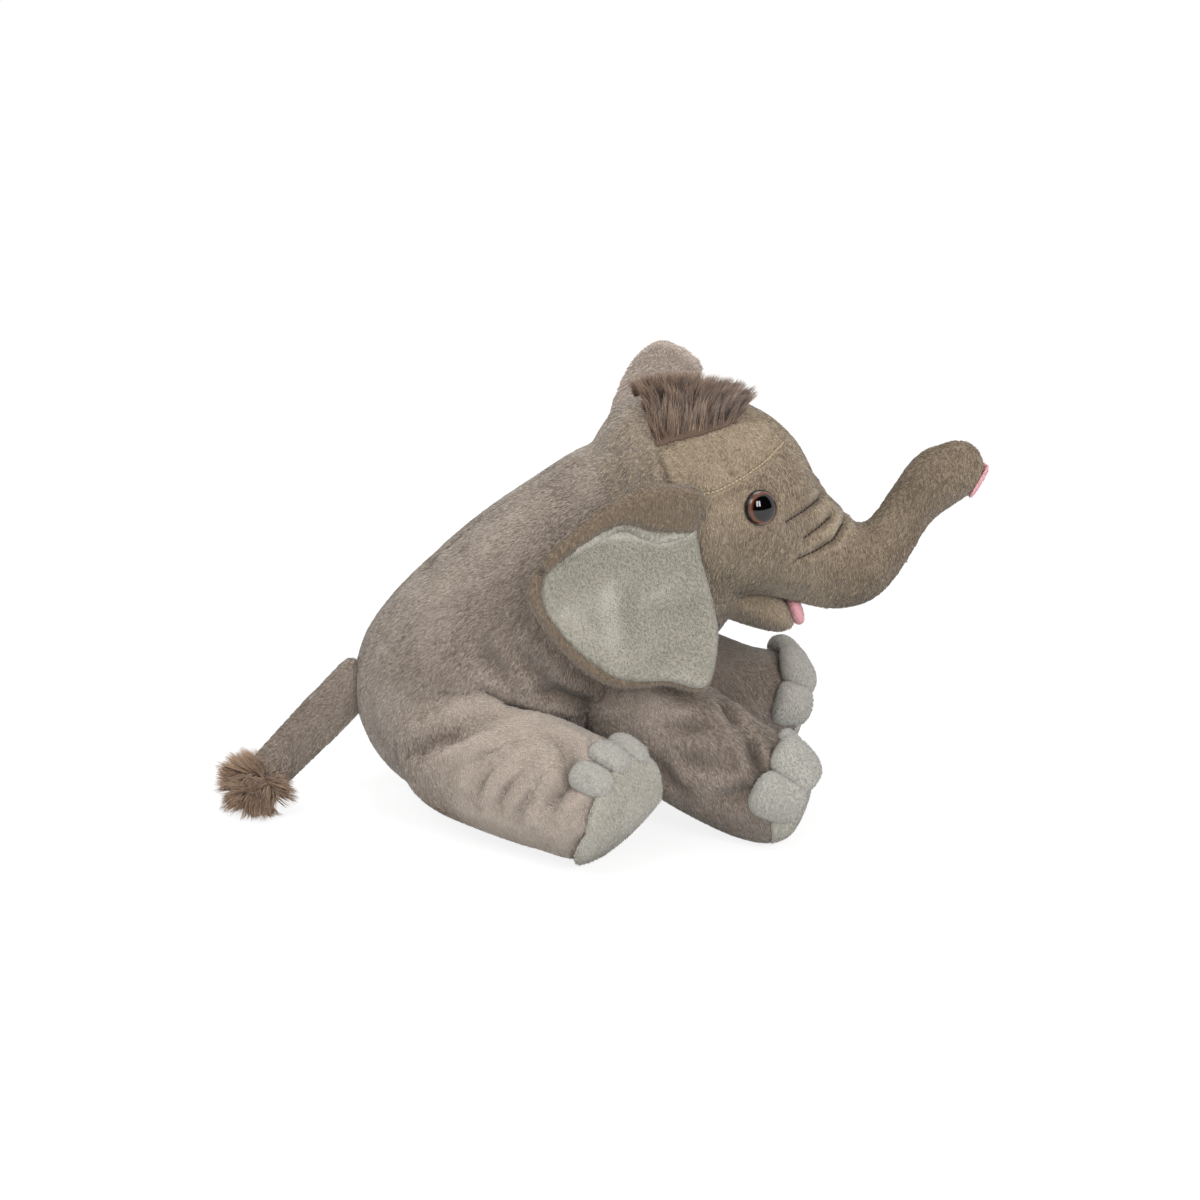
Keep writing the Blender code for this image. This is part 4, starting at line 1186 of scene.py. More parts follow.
@dataclass
class Skin:
    """A stuffed cover from its first form to its finished mesh."""

    name: str
    made: Object
    # Painted shade and light of creases and marks, with darker or lighter tone, at each point.
    tint: Array = field(default_factory=lambda: np.zeros(0))

    def shaded(self) -> Array:
        """The painted shade and light and the tone at each point, which is none until a line is
        pressed.
        """
        if len(self.tint) != len(self.made.data.vertices):
            self.tint = np.zeros(len(self.made.data.vertices))
        return self.tint

    @classmethod
    def stuffed(
        cls,
        name: str,
        form: tuple[Array, Faces],
        voxel: float,
        passes: int,
        cap: float = 0.0,
        levels: int = 0,
        seam: Array | None = None,
    ) -> "Skin":
        """Makes a closed form into a skin of even faces, fills it and refines it.

        Args:
            name: The skin's name.
            form: The form's points and faces.
            voxel: The size of the faces.
            passes: How many times to even it out.
            cap: How far the filling may move a point, or 0 for no filling.
            levels: How many times to subdivide it.
            seam: A line of points that holds while the skin fills.

        Returns:
            The skin.
        """
        skin = cls(name, new_object(name, *form))
        modifier = skin.made.modifiers.new("even", "REMESH")
        modifier.mode = "VOXEL"
        modifier.voxel_size = voxel
        settle(skin.made)
        skin.smooth(passes)
        if cap:
            skin.plump(cap, seam)
        if levels:
            refine(skin.made, levels)
        return skin

    def smooth(self, passes: int) -> None:
        """Evens the skin out by moving each point half way to the middle of its neighbours."""
        flat = np.empty(len(self.made.data.edges) * 2, np.int32)
        self.made.data.edges.foreach_get("vertices", flat)
        moved, pairs = points_of(self.made), flat.reshape(-1, 2)
        ends = np.concatenate([pairs, pairs[:, ::-1]])
        count = len(moved)
        degree = np.maximum(np.bincount(ends[:, 0], minlength=count), 1)
        for _ in range(passes):
            far = moved[ends[:, 1]]
            total = [np.bincount(ends[:, 0], far[:, k], count) for k in range(3)]
            moved += 0.5 * (np.stack(total, axis=1) / degree[:, None] - moved)
        set_points(self.made, moved)

    def plump(self, cap: float, seam: Array | None, reach: float = 0.0035) -> None:
        """Fills the skin with Blender's cloth pressure while its seam holds.

        Args:
            cap: How far a point may move.
            seam: A line of points along the seam, or None.
            reach: How near the seam a point is held.
        """
        start, normals = points_of(self.made), normals_of(self.made)
        held = np.zeros(len(start), bool)
        if seam is not None:
            held = line_distance(start, seam)[0] < reach
        step = self._pressed(held, cap) - start
        swell = np.clip(np.sum(step * normals, axis=1), 0.0, cap)
        set_points(self.made, start + normals * swell[:, None])

    def _pressed(self, held: Array, cap: float) -> Array:
        """The points after the cloth simulation."""
        group = self.made.vertex_groups.new(name="seams")
        group.add([int(k) for k in np.flatnonzero(held)], 1.0, "REPLACE")
        modifier = self.made.modifiers.new("stuffing", "CLOTH")
        cloth = modifier.settings
        cloth.use_pressure = True
        cloth.uniform_pressure_force = self._pressure(cap)
        cloth.effector_weights.gravity = 0.0
        cloth.vertex_group_mass = group.name
        cloth.quality = 4
        modifier.collision_settings.use_collision = False
        modifier.point_cache.frame_start = 1
        modifier.point_cache.frame_end = PRESSED_FRAMES
        scene = bpy.context.scene
        for number in range(1, PRESSED_FRAMES + 1):
            scene.frame_set(number)
        graph = bpy.context.evaluated_depsgraph_get()
        points = read(self.made.evaluated_get(graph).to_mesh().vertices, "co")
        self.made.modifiers.clear()
        self.made.vertex_groups.clear()
        scene.frame_set(1)
        return points

    def _pressure(self, cap: float) -> float:
        """The pressure that swells a cover of this size by about the cap."""
        builder = bmesh.new()
        builder.from_mesh(self.made.data)
        half = 2 * builder.calc_volume() / sum(f.calc_area() for f in builder.faces)
        builder.free()
        return PRESSURE_GAIN * cap / half**2

    def ease_onto(self, other: "Skin", reach: float, share: Array | float = 1.0) -> None:
        """Lets the skin run smoothly into another one where they meet.

        Args:
            other: The skin it is sewn to.
            reach: How far from the meeting the easing starts.
            share: The share of easing wanted at each point, 0 to 1.
        """
        points = points_of(self.made)
        gaps, normals = nearest_gap(points, surface_of(other.made))
        eased = (gaps + reach) ** 2 / (4 * reach)
        lift = np.where(np.abs(gaps) < reach, eased - gaps, 0.0) * share
        set_points(self.made, points + normals * lift[:, None])

    def rest_on_floor(self, ease: float = 0.004, clear: float = 0.0006) -> None:
        """Flattens the skin where it presses on the floor."""
        points = points_of(self.made)
        height = points[:, 2] - clear
        soft = (height + np.sqrt(height**2 + ease**2 * 0.2)) / 2
        points[:, 2] = np.where(height < ease * 2, soft, height) + clear
        set_points(self.made, points)

    def press(self, line: Array, crease: Crease) -> None:
        """Presses a line into the skin, with softly raised sides, and paints shade into its groove
        and light onto its sides.

        Args:
            line: A line of points on the skin.
            crease: Its depth, width, sides and shade.
        """
        points = points_of(self.made)
        away, along = line_distance(points, line)
        near = away < crease.width * 5
        fade = np.sqrt(np.clip(np.sin(np.pi * np.clip(along, 0.02, 0.98)), 0, 1)) * near
        groove = bell(away, crease.width)
        sides = bell(away - 2.1 * crease.width, 1.1 * crease.width)
        move = crease.depth * fade * (crease.ridge * sides - groove)
        # Painted shade in the groove and painted light on the raised sides.
        self.tint = self.shaded() + crease.shade * fade * (groove - 0.3 * sides)
        set_points(self.made, points + normals_of(self.made) * move[:, None])

    def crease(self, creases: Sequence[Crease], guide: BVHTree, sign: float) -> None:
        """Presses the photograph's creases into one side of the skin.

        Args:
            creases: The creases.
            guide: The near surface that the photograph shows.
            sign: The side to press.
        """
        for crease in creases:
            line = crease.laid(guide, sign)
            if len(line) < 3:
                LOG.info("%s: a crease at %s lies off it", self.name, crease.pixels[0])
                continue
            self.press(line, crease)

    def mark(self, nap: Array, trim: Array | None = None, shade: Array | float = 0.0) -> None:
        """Stores what its pile needs: the nap's direction, the hairs' share of length, the shade.

        Args:
            nap: The nap for the whole skin or each point.
            trim: The share of length at each point, or None for full length.
            shade: A shade for the whole skin or each point, added to that of its creases; it
                carries painted shade and painted light as well as tone.
        """
        count = len(self.made.data.vertices)
        store(self.made, "nap", np.broadcast_to(nap, (count, 3)))
        store(self.made, "pile", np.ones(count) if trim is None else trim)
        store(self.made, "shade", self.shaded() + shade)


def outside(points: Array, others: Sequence[Skin], depth: float = 0.003) -> Array:
    """One for each point that isn't buried in another skin, and zero for the rest.

    Args:
        points: The points.
        others: The skins they may be buried in.
        depth: How deep counts as buried.

    Returns:
        Ones and zeros.
    """
    free = np.ones(len(points))
    for other in others:
        low, high = points_of(other.made).min(axis=0), points_of(other.made).max(axis=0)
        near = np.flatnonzero(((points > low) & (points < high)).all(axis=1))
        if len(near):
            gaps, _ = nearest_gap(points[near], surface_of(other.made))
            free[near[gaps < -depth]] = 0.0
    return free


# ---------------------------------------------------------------------------------------------
# Fabrics and how pieces follow the frame


def lay(made: Object, material: Material) -> None:
    """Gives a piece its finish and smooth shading."""
    made.data.materials.clear()
    made.data.materials.append(material)
    made.data.shade_smooth()


@dataclass(frozen=True)
class Fabric:
    """A fabric: its slot, its ground and the tree that grows its pile."""

    slot: Slot
    ground: Material
    tree: GrownTree

    def grow(self, made: Object, name: str, pattern: Pile | Locks) -> Object:
        """Grows the pile of a piece."""
        hairs = self.tree.grow(made, name, pattern)
        LOG.info("%s: %d faces", name, len(hairs.data.polygons))
        return hairs

    def cover(self, made: Object, name: str, pattern: Pile | Locks) -> Object:
        """Lays the ground on a piece and grows its pile."""
        lay(made, self.ground)
        return self.grow(made, name, pattern)

    def halves(
        self,
        skin: Object,
        name: str,
        pile: Pile,
        wanted: Callable[[Array], Array] | None = None,
    ) -> list[Object]:
        """Grows a skin's pile as a right and a left piece.

        Args:
            skin: The skin, with its nap stored.
            name: The name of the pieces after their side.
            pile: How the pile grows.
            wanted: Gives true for each face that has this pile, or None for all of them.

        Returns:
            The two pieces.
        """
        made = []
        for side, sign in SIDES.items():

            def kept(middles: Array, sign: float = sign) -> Array:
                """True for each face of this side that has the pile."""
                near = middles[:, 1] * sign > 0
                return near if wanted is None else near & wanted(middles)

            half = duplicate_where(skin, f"{side}_{name}_ground", kept)
            made.append(self.grow(half, f"{side}_{name}_pile", pile))
            bpy.data.objects.remove(half, do_unlink=True)
        return made


@dataclass(frozen=True)
class Hold:
    """How pieces follow the frame: on one body, or, for a hold between two bodies, baked where they
    stand without a body.
    """

    body: str
    parent: str = ""
    start: Array | None = None
    end: Array | None = None

    @classmethod
    def across(
        cls, ends: tuple[str, str], place: Array, way: Array, low: float, high: float
    ) -> "Hold":
        """A hold between two bodies, with a run along the joint between them.

        Args:
            ends: The two bodies.
            place: The joint between them.
            way: The direction of the blend.
            low: Where it starts, from the joint.
            high: Where it ends.

        Returns:
            The hold.
        """
        return cls(ends[1], ends[0], place + way * low, place + way * high)

    def take(self, *pieces: Object) -> None:
        """Puts pieces on the hold's body, or bakes them where they stand for a hold between two
        bodies.
        """
        for piece in pieces:
            if self.parent:
                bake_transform(piece)
            else:
                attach(piece, self.body)

    def take_cover(self, cover: Object, hairs: Sequence[Object], fill: float, *nodes: str) -> None:
        """Takes a cover and its pile as take does, in place of CAD nodes, which it hides."""
        self.take(cover, *hairs)
        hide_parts(*nodes)


def velour(
    made: Object, fabric: Fabric, body: str, node: str, shade: Array | float = 0.0
) -> None:
    """Gives a pad its ground and a very short nap, and lets both ride on a body.

    Args:
        made: The pad.
        fabric: Its fabric.
        body: The body it rides on.
        node: The CAD node it stands for.
        shade: Its shade, for the whole pad or for each point.
    """
    Skin(made.name, made).mark(-UP, None, shade)
    nap = fabric.cover(made, f"{made.name}_nap", SHORT_NAP)
    Hold(body).take_cover(made, [nap], 0.6, node)


class Finishes:
    """Every fabric, thread and plastic of the toy, made once."""

    def __init__(self) -> None:
        """Builds the materials and the trees that use them."""
        self.eye = EyeFinish().build()
        taupe = ((122, 109, 95), (145, 131, 118), (164, 151, 138), (179, 166, 153), (197, 184, 171))
        # A lighter copy of the taupe tones for the far ear's back: painted light.
        light = ((164, 148, 135), (179, 163, 150), (194, 178, 165), (208, 192, 179))
        light += ((221, 205, 192),)
        head = ((124, 108, 88), (145, 128, 106), (161, 144, 121), (177, 160, 135), (193, 176, 150))
        pale = ((142, 138, 126), (158, 154, 142), (174, 170, 158), (190, 186, 175), (206, 203, 193))
        toe = ((167, 165, 157), (179, 177, 169), (191, 189, 181))
        pink = ((212, 148, 157), (228, 168, 176), (240, 186, 192))
        brown = ((76, 57, 44), (102, 80, 63), (127, 102, 83), (148, 122, 101), (168, 142, 119))
        grounds = {
            "taupe": ClothFinish("taupe_ground", (168, 154, 144), (132, 119, 110)),
            "head": ClothFinish("head_ground", (164, 148, 128), (126, 111, 95)),
            "pale": ClothFinish("pale_velour", (178, 174, 162), (150, 146, 134)),
            "toe": ClothFinish("toe_velour", (188, 185, 177), (164, 161, 153)),
            "pink": ClothFinish("pink_velour", (236, 180, 186), (214, 150, 158)),
            "long": ClothFinish("long_ground", (120, 99, 84), (88, 71, 60)),
        }
        laid = {key: ground.build() for key, ground in grounds.items()}

        def fabric(slot: Slot, ground: str, hair: str, tones: Sequence[Colour]) -> Fabric:
            """The fabric of a ground and the tones of its hairs."""
            kind = LockTree if slot is Slot.LONG else PileTree
            tree = kind(f"{hair}_tree", PileFinish(hair, tuple(tones)).build())
            return Fabric(slot, laid[ground], tree)

        self.taupe = fabric(Slot.TAUPE, "taupe", "taupe_hair", taupe)
        self.ear = fabric(Slot.TAUPE, "taupe", "ear_hair", light)
        self.head = fabric(Slot.HEAD, "head", "head_hair", head)
        self.pale = fabric(Slot.PALE, "pale", "pale_hair", pale)
        self.toe = fabric(Slot.TOE, "toe", "toe_hair", toe)
        self.pink = fabric(Slot.PINK, "pink", "pink_hair", pink)
        self.long = fabric(Slot.LONG, "long", "long_hair", brown)
        dark = PileFinish("dark_thread", ((62, 49, 42),), 0.0, 0.7).build()
        fair = PileFinish("pale_thread", ((180, 164, 138),), 0.0, 0.8).build()
        self.stitches = StitchTree("dark_stitches", dark)
        self.pale_stitches = StitchTree("pale_stitches", fair)


# ---------------------------------------------------------------------------------------------
# Lines that the photograph shows, as pixels


# Each crease: its pixels, depth, width, ridge and shade; the shade paints shade into the fold, 0.3
# where not given.
THIGH_CREASES = (
    Crease(((409, 753), (456, 731), (487, 721), (514, 716)), 0.0032, 0.0036, 0.6, 0.5),
    Crease(((443, 743), (487, 735), (522, 729)), 0.0022, 0.0026, 0.6, 0.45),
    Crease(((472, 776), (487, 755), (506, 743), (533, 737)), 0.0032, 0.0030, 0.6, 0.5),
    Crease(((474, 802), (480, 787), (495, 768), (514, 755), (543, 743)), 0.0036, 0.0032, 0.6, 0.5),
    Crease(((497, 808), (510, 787), (525, 768), (544, 755)), 0.0030, 0.0028, 0.6, 0.5),
    Crease(((514, 820), (525, 802), (537, 787)), 0.0024, 0.0028, 0.6, 0.45),
    Crease(((546, 812), (556, 799), (571, 781), (573, 772)), 0.0040, 0.0031, 0.5, 0.6),
    Crease(((544, 730), (564, 751), (573, 774), (581, 787)), 0.0040, 0.0035, 0.5, 0.6),
)
BELLY_CREASES = (
    Crease(((479, 691), (492, 699), (506, 705)), 0.0020, 0.0028),
    Crease(((479, 644), (496, 663), (513, 679)), 0.0020, 0.0034),
    Crease(((509, 644), (533, 668), (554, 689)), 0.0024, 0.0034),
    Crease(((540, 690), (558, 693), (583, 703), (587, 712)), 0.0032, 0.0028, 0.5, 0.5),
    Crease(((512, 712), (533, 718), (546, 730)), 0.0030, 0.0025, 0.5, 0.5),
    Crease(((424, 556), (430, 566), (446, 574)), 0.0004, 0.0030, 0.4, 0.08),
)
# The sleeve's first line is a seam, pale where its shade is negative; the rest paint shade into
# their folds.
SLEEVE_CREASES = (
    Crease(((603, 712), (625, 703), (647, 695)), 0.0010, 0.0014, 0.3, -0.2),
    Crease(((662, 730), (690, 727), (712, 722)), 0.0024, 0.0032),
    Crease(((712, 802), (740, 793), (768, 780)), 0.0026, 0.0032),
    Crease(((655, 760), (672, 782), (690, 796)), 0.0022, 0.0032),
    Crease(((680, 756), (700, 764), (722, 762)), 0.0018, 0.0030),
    Crease(((720, 700), (731, 716), (740, 728)), 0.0036, 0.0030, 0.5, 0.4),
    Crease(((747, 735), (752, 752), (758, 770), (766, 780)), 0.0034, 0.0022, 0.6, 0.5),
)
# The brow's first line is its seam, pale where its shade is negative; the others paint shade into
# their grooves.
BROW = (
    Crease(((686, 497), (716, 492), (741, 479), (766, 461), (782, 444)), 0.0010, 0.0012, 0.3, -0.7),
    Crease(((728, 469), (733, 474), (738, 478)), 0.0009, 0.0012, 0.3, 0.3),
    Crease(((660, 452), (663, 468), (668, 484), (684, 495)), 0.0010, 0.0013, 0.3, 0.35),
)
# The trunk's wrinkles paint shade into their grooves.
WRINKLES = (
    Crease(((787, 521), (804, 511), (816, 502), (819, 498)), 0.0012, 0.0016, 0.6, 0.5),
    Crease(((805, 537), (821, 526), (830, 517)), 0.0012, 0.0016, 0.6, 0.5),
    Crease(((799, 558), (816, 551), (835, 539), (843, 524)), 0.0013, 0.0017, 0.6, 0.5),
)
BROW_PANEL = (
    *((660, 453), (700, 436), (738, 423), (765, 420), (782, 444)),
    *((766, 461), (741, 479), (716, 492), (686, 497), (666, 483)),
)
HAIR_EDGE = (
    *((647, 404), (649, 424), (658, 448), (671, 443), (700, 436), (737, 423)),
    *((745, 398), (742, 372), (690, 350), (668, 372), (654, 388)),
)
NAPE_EDGE = (
    *((480, 330), (652, 330), (647, 404), (649, 424), (658, 448)),
    *((663, 468), (668, 484), (684, 495), (692, 560), (480, 700)),
)


def within(points: Array, edge: Sequence[Pixel]) -> Array:
    """True for each point that shows inside an outline of the photograph, on either side."""
    return inside_outline(CAMERA.near_side(points), np.array(edge))


# ---------------------------------------------------------------------------------------------
# The toy's pieces


@dataclass
class Torso:
    """The pear-shaped body that sits on its rump and leans back."""

    rump: Place = (-0.053852, 0.0, 0.0464)
    rump_height: float = 0.0502
    rump_width: float = 0.0515
    belly_height: float = 0.0520
    belly_width: float = 0.0525
    neck_height: float = 0.0490
    neck_width: float = 0.0375
    slack: float = 0.0018
    voxel: float = 0.004
    # Centre and reach, in pixels, of painted shade on the flank under the ear: the ear's shadow and
    # the nap's darker sheen.
    brushed: Pixel = (535.0, 635.0)
    brushed_pixels: float = 95.0
    pile: Pile = Pile(seed=11)

    def build(self) -> Skin:
        """The filled skin."""
        rump, slack = np.array(self.rump), self.slack
        lean = NECK - rump
        rings = [
            Ring(rump, self.rump_height - slack, self.rump_width - slack),
            Ring(rump + lean * 0.5, self.belly_height - slack, self.belly_width - slack),
            Ring(NECK, self.neck_height - slack, self.neck_width - slack),
        ]
        form = stuffed_tube(rings, ACROSS, self.rump_height - slack, self.neck_width)
        midline = self._midline()
        skin = Skin.stuffed("torso_skin", form, self.voxel, 4, slack, 2, midline)
        skin.rest_on_floor()
        # The back seam's groove, with a little painted shade in it.
        skin.press(midline, Crease((), 0.0009, 0.0016, 0.3, 0.12))
        guide = surface_of(skin.made)
        for sign in SIDES.values():
            skin.crease((*BELLY_CREASES, *THIGH_CREASES), guide, sign)
        return skin

    def _midline(self) -> Array:
        """The seam along the back, from the tail to the nape."""
        rump = np.array(self.rump)
        lean = unit(NECK - rump)
        arch = np.cross(lean, ACROSS)
        turns = np.radians(np.linspace(190, 90, 9))
        low = [rump + (lean * math.cos(a) + arch * math.sin(a)) * self.rump_height for a in turns]
        top = [NECK + arch * self.neck_height]
        return resample(np.array(low + top), 60)

    def dress(self, skin: Skin, finishes: Finishes, others: Sequence[Skin]) -> None:
        """Gives the body its pile in two halves and hands it to the frame."""
        points = points_of(skin.made)
        away = np.linalg.norm(CAMERA.near_side(points) - self.brushed, axis=1)
        # Painted shade on the flank under the ear, and the torso a little darker overall.
        skin.tint = skin.shaded() + 0.26 * bell(away, self.brushed_pixels) + 0.04
        backwards = unit(np.array(self.rump) - NECK) - UP * 0.5
        skin.mark(backwards, outside(points, others))
        lay(skin.made, finishes.taupe.ground)
        hairs = finishes.taupe.halves(skin.made, "torso", self.pile)
        covers = ("body_cover_right", "body_cover_left", "body_filling", "pellet_pouch")
        Hold("body").take_cover(skin.made, hairs, 0.7, *covers)


@dataclass
class Head:
    """The head and the trunk that curls up from it, in three stretches of one skin."""

    slack: float = 0.0014
    voxel: float = 0.0035
    nape: Section = (-0.003, 0.014, 0.0450, 0.0385)
    crown: Section = (0.017, 0.0155, 0.0445, 0.0425)
    face: Section = (0.0355, 0.0122, 0.0405, 0.0415)
    bridge: Section = (0.0575, -0.0002, 0.0244, 0.0290)
    root: float = 0.0186
    swell: Place = (0.0108, 0.0024, 0.0166)
    waist: Place = (0.0018, -0.0018, 0.0124)
    thin: Place = (0.0112, 0.0126, 0.0118)
    flare: Place = (0.0218, 0.0238, 0.0140)
    tip: Place = (0.0330, 0.0298, 0.0122)
    tip_dome: float = 0.0078
    flatness: float = 0.88
    facing: float = math.radians(27)
    pile: Pile = Pile(seed=23)
    trunk_pile: Pile = Pile(seed=29)

    def rings(self) -> list[Ring]:
        """The cross-sections from the nape to the tip of the trunk."""
        made = []
        for ahead, up, tall, wide in (self.nape, self.crown, self.face, self.bridge):
            made.append(Ring(beyond(NECK, ahead, up), tall - self.slack, wide - self.slack))
        made.append(Ring(TRUNK_ROOT, self.root - self.slack, self.root - self.slack))
        spots = [(TRUNK_ROOT, *self.swell, 1.0), (TRUNK_WAIST, *self.waist, 1.0)]
        spots += [(TRUNK_WAIST, *s, self.flatness) for s in (self.thin, self.flare, self.tip)]
        for base, ahead, up, radius, flat in spots:
            tall = radius - self.slack
            made.append(Ring(beyond(base, ahead, up), tall, tall * flat))
        return made

    def build(self) -> Skin:
        """The filled skin of head and trunk together."""
        form = stuffed_tube(self.rings(), ACROSS, 0.015, self.tip_dome - self.slack, 8)
        return Skin.stuffed("head_skin", form, self.voxel, 3, self.slack, 2)

    def wrinkles(self, skin: Skin) -> tuple[Array, list[Array]]:
        """Presses the brow's seams and the trunk's wrinkles, and gives the near ones' lines."""
        guide = surface_of(skin.made)
        for sign in SIDES.values():
            skin.crease(BROW, guide, sign)
        lines = []
        for crease in WRINKLES:
            near, far = crease.laid(guide, -1.0), crease.laid(guide, 1.0)
            skin.press(np.concatenate([near, far[::-1]]), crease)
            lines.append(near)
        return BROW[0].laid(guide, -1.0), lines

    @staticmethod
    def _is_nape(middles: Array) -> Array:
        """True for each place behind the collar seam, which has the body's plush."""
        return within(middles, NAPE_EDGE)

    @staticmethod
    def _is_face(middles: Array) -> Array:
        """True for each place ahead of the collar seam."""
        return ~within(middles, NAPE_EDGE)

    def _marks(self, skin: Skin, others: Sequence[Skin]) -> None:
        """Stores the nap, a bare seat under each eye, and the paler brow and darker trunk."""
        points, surface = points_of(skin.made), surface_of(skin.made)
        trim = outside(points, others)
        for sign in SIDES.values():
            away = np.linalg.norm(points - eye_seat(sign, surface)[0], axis=1)
            trim *= smoothstep(0.0062, 0.0080, away)
        ridge = smoothstep(0.5, 0.9, normals_of(skin.made)[:, 2])
        ridge *= smoothstep(NECK[0] + 0.06, NECK[0] + 0.085, points[:, 0])
        trunk = smoothstep(NECK[0] + 0.066, NECK[0] + 0.092, points[:, 0])
        brow = within(points, BROW_PANEL)
        skin.tint = skin.shaded() - 0.27 * brow + 0.15 * ridge + 0.38 * trunk
        skin.mark(np.array((-0.35, 0.0, -1.0)), trim)

    def dress(self, skin: Skin, finishes: Finishes, others: Sequence[Skin]) -> None:
        """Splits the skin at the trunk's joints, gives it its pile and bakes the pieces where they
        stand.
        """
        seam, lines = self.wrinkles(skin)
        surface = surface_of(skin.made)
        self._marks(skin, others)
        places = [r.centre for r in self.rings()]
        at_root, at_waist = unit(places[5] - places[3]), unit(places[7] - places[5])
        trunk = split_by_plane(skin.made, "trunk_root_skin", TRUNK_ROOT, at_root)
        tip = split_by_plane(trunk, "trunk_tip_skin", TRUNK_WAIST, at_waist)
        nod = Hold.across(("body", "head"), NECK, tilted(self.facing), -0.010, 0.018)
        bend = Hold.across(("head", "trunk_root"), TRUNK_ROOT, at_root, 0.002, 0.013)
        curl = Hold.across(("trunk_root", "trunk_tip"), TRUNK_WAIST, at_waist, 0.002, 0.012)
        inside = ("head_filling", *(f"{side}_eye_washer" for side in SIDES))
        nodes = {
            "head": ("head_cover_right", "head_cover_left", *inside),
            "trunk_root": ("trunk_root_cover", "trunk_root_filling"),
            "trunk_tip": ("trunk_tip_cover", "trunk_tip_filling"),
        }
        for made, hold in ((skin.made, nod), (trunk, bend), (tip, curl)):
            pile = self.pile if hold is nod else self.trunk_pile
            lay(made, finishes.head.ground)
            hairs = finishes.head.halves(made, hold.body, pile, self._is_face)
            if hold is nod:
                hairs += finishes.taupe.halves(made, "nape", pile, self._is_nape)
            hold.take_cover(made, hairs, 0.75, *nodes[hold.body])
        self._sew(seam, lines, surface, finishes, bend)

    @staticmethod
    def _sew(
        seam: Array, lines: Sequence[Array], surface: BVHTree, finishes: Finishes, bend: Hold
    ) -> None:
        """Sews the brow's seam and the trunk's wrinkles on both sides.

        Args:
            seam: The near brow's seam.
            lines: The near wrinkles' lines.
            surface: The head's skin.
            finishes: The toy's threads.
            bend: The hold between the head and the trunk's root, which bakes the wrinkles' stitches
                where they stand.
        """
        mirrors = {"right": np.ones(3), "left": MIRROR}
        for side, mirror in mirrors.items():
            laid = on_surface(resample(seam * mirror, 40), surface, 0.0009)
            row = finishes.pale_stitches.sew(f"{side}_brow_stitches", laid, 0.0017)
            Hold("head").take(row)
        for k, line in enumerate(lines):
            for side, mirror in mirrors.items():
                laid = on_surface(resample(line * mirror, 24), surface, 0.0005)
                bend.take(finishes.stitches.sew(f"{side}_wrinkle_stitches_{k}", laid))


def eye_seat(sign: float, surface: BVHTree) -> tuple[Array, Array]:
    """Where an eye sits on the head, and the way it faces."""
    beside = Vector(NECK + np.array((EYE_AHEAD, sign * 0.2, EYE_UP)))
    place, normal, _, _ = surface.ray_cast(beside, Vector((0, -sign, 0)))
    return np.array(place), np.array(normal)


@dataclass
class Eyes:
    """Two polished eyes with a black pupil in a brown ring."""

    radius: float = 0.0070
    dome: float = 0.0042
    rim: float = 0.0012
    lift: float = 0.0006
    steps: int = 18
    segments: int = 48

    def build(self, side: str, sign: float, surface: BVHTree) -> Object:
        """One eye, turned on a lathe and set on the head.

        Args:
            side: Which side it is on.
            sign: The side's sign across the toy.
            surface: The head's skin.

        Returns:
            The eye.
        """
        place, normal = eye_seat(sign, surface)
        seat = place + normal * self.lift
        first = unit(np.cross(normal, UP))
        second = np.cross(normal, first)
        profile = []
        for t in np.linspace(0, np.pi / 2, self.steps)[1:]:
            profile.append((self.radius * math.sin(t), self.dome * math.cos(t), math.sin(t)))
        profile.append((self.radius * 0.97, -self.rim, 1.0))
        profile.append((self.radius * 0.4, -self.rim * 2, 1.0))
        points, ring = [seat + normal * self.dome], [0.0]
        for radius, height, share in profile:
            for a in np.linspace(0, 2 * np.pi, self.segments, endpoint=False):
                around = first * math.cos(a) + second * math.sin(a)
                points.append(seat + around * radius + normal * height)
                ring.append(share)
        points.append(seat - normal * self.rim * 2)
        ring.append(1.0)
        faces = ring_faces(len(profile), self.segments)
        made = outward(new_object(f"{side}_eye_dome", np.array(points), faces))
        store(made, "ring", np.array(ring))
        return made

    def dress(self, surface: BVHTree, finishes: Finishes) -> None:
        """Makes both eyes and hands them to the frame."""
        for side, sign in SIDES.items():
            made = self.build(side, sign, surface)
            lay(made, finishes.eye)
            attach(made, "head")
            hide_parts(f"{side}_eye")
            LOG.info("%s: %d faces", made.name, len(made.data.polygons))


class End(Enum):
    """Which pair a leg belongs to."""

    FRONT = "front"
    HIND = "hind"


@dataclass(frozen=True)
class Toes:
    """How a foot's three toe pads sit: their half sizes and how they wrap over the sole's edge."""

    half: Place
    ahead: float
    inset: float
    lean: float
    roll: float
    spread: float
    inner_share: float = 1.0
    inner_back: float = 0.0
    inner_tuck: float = 0.0


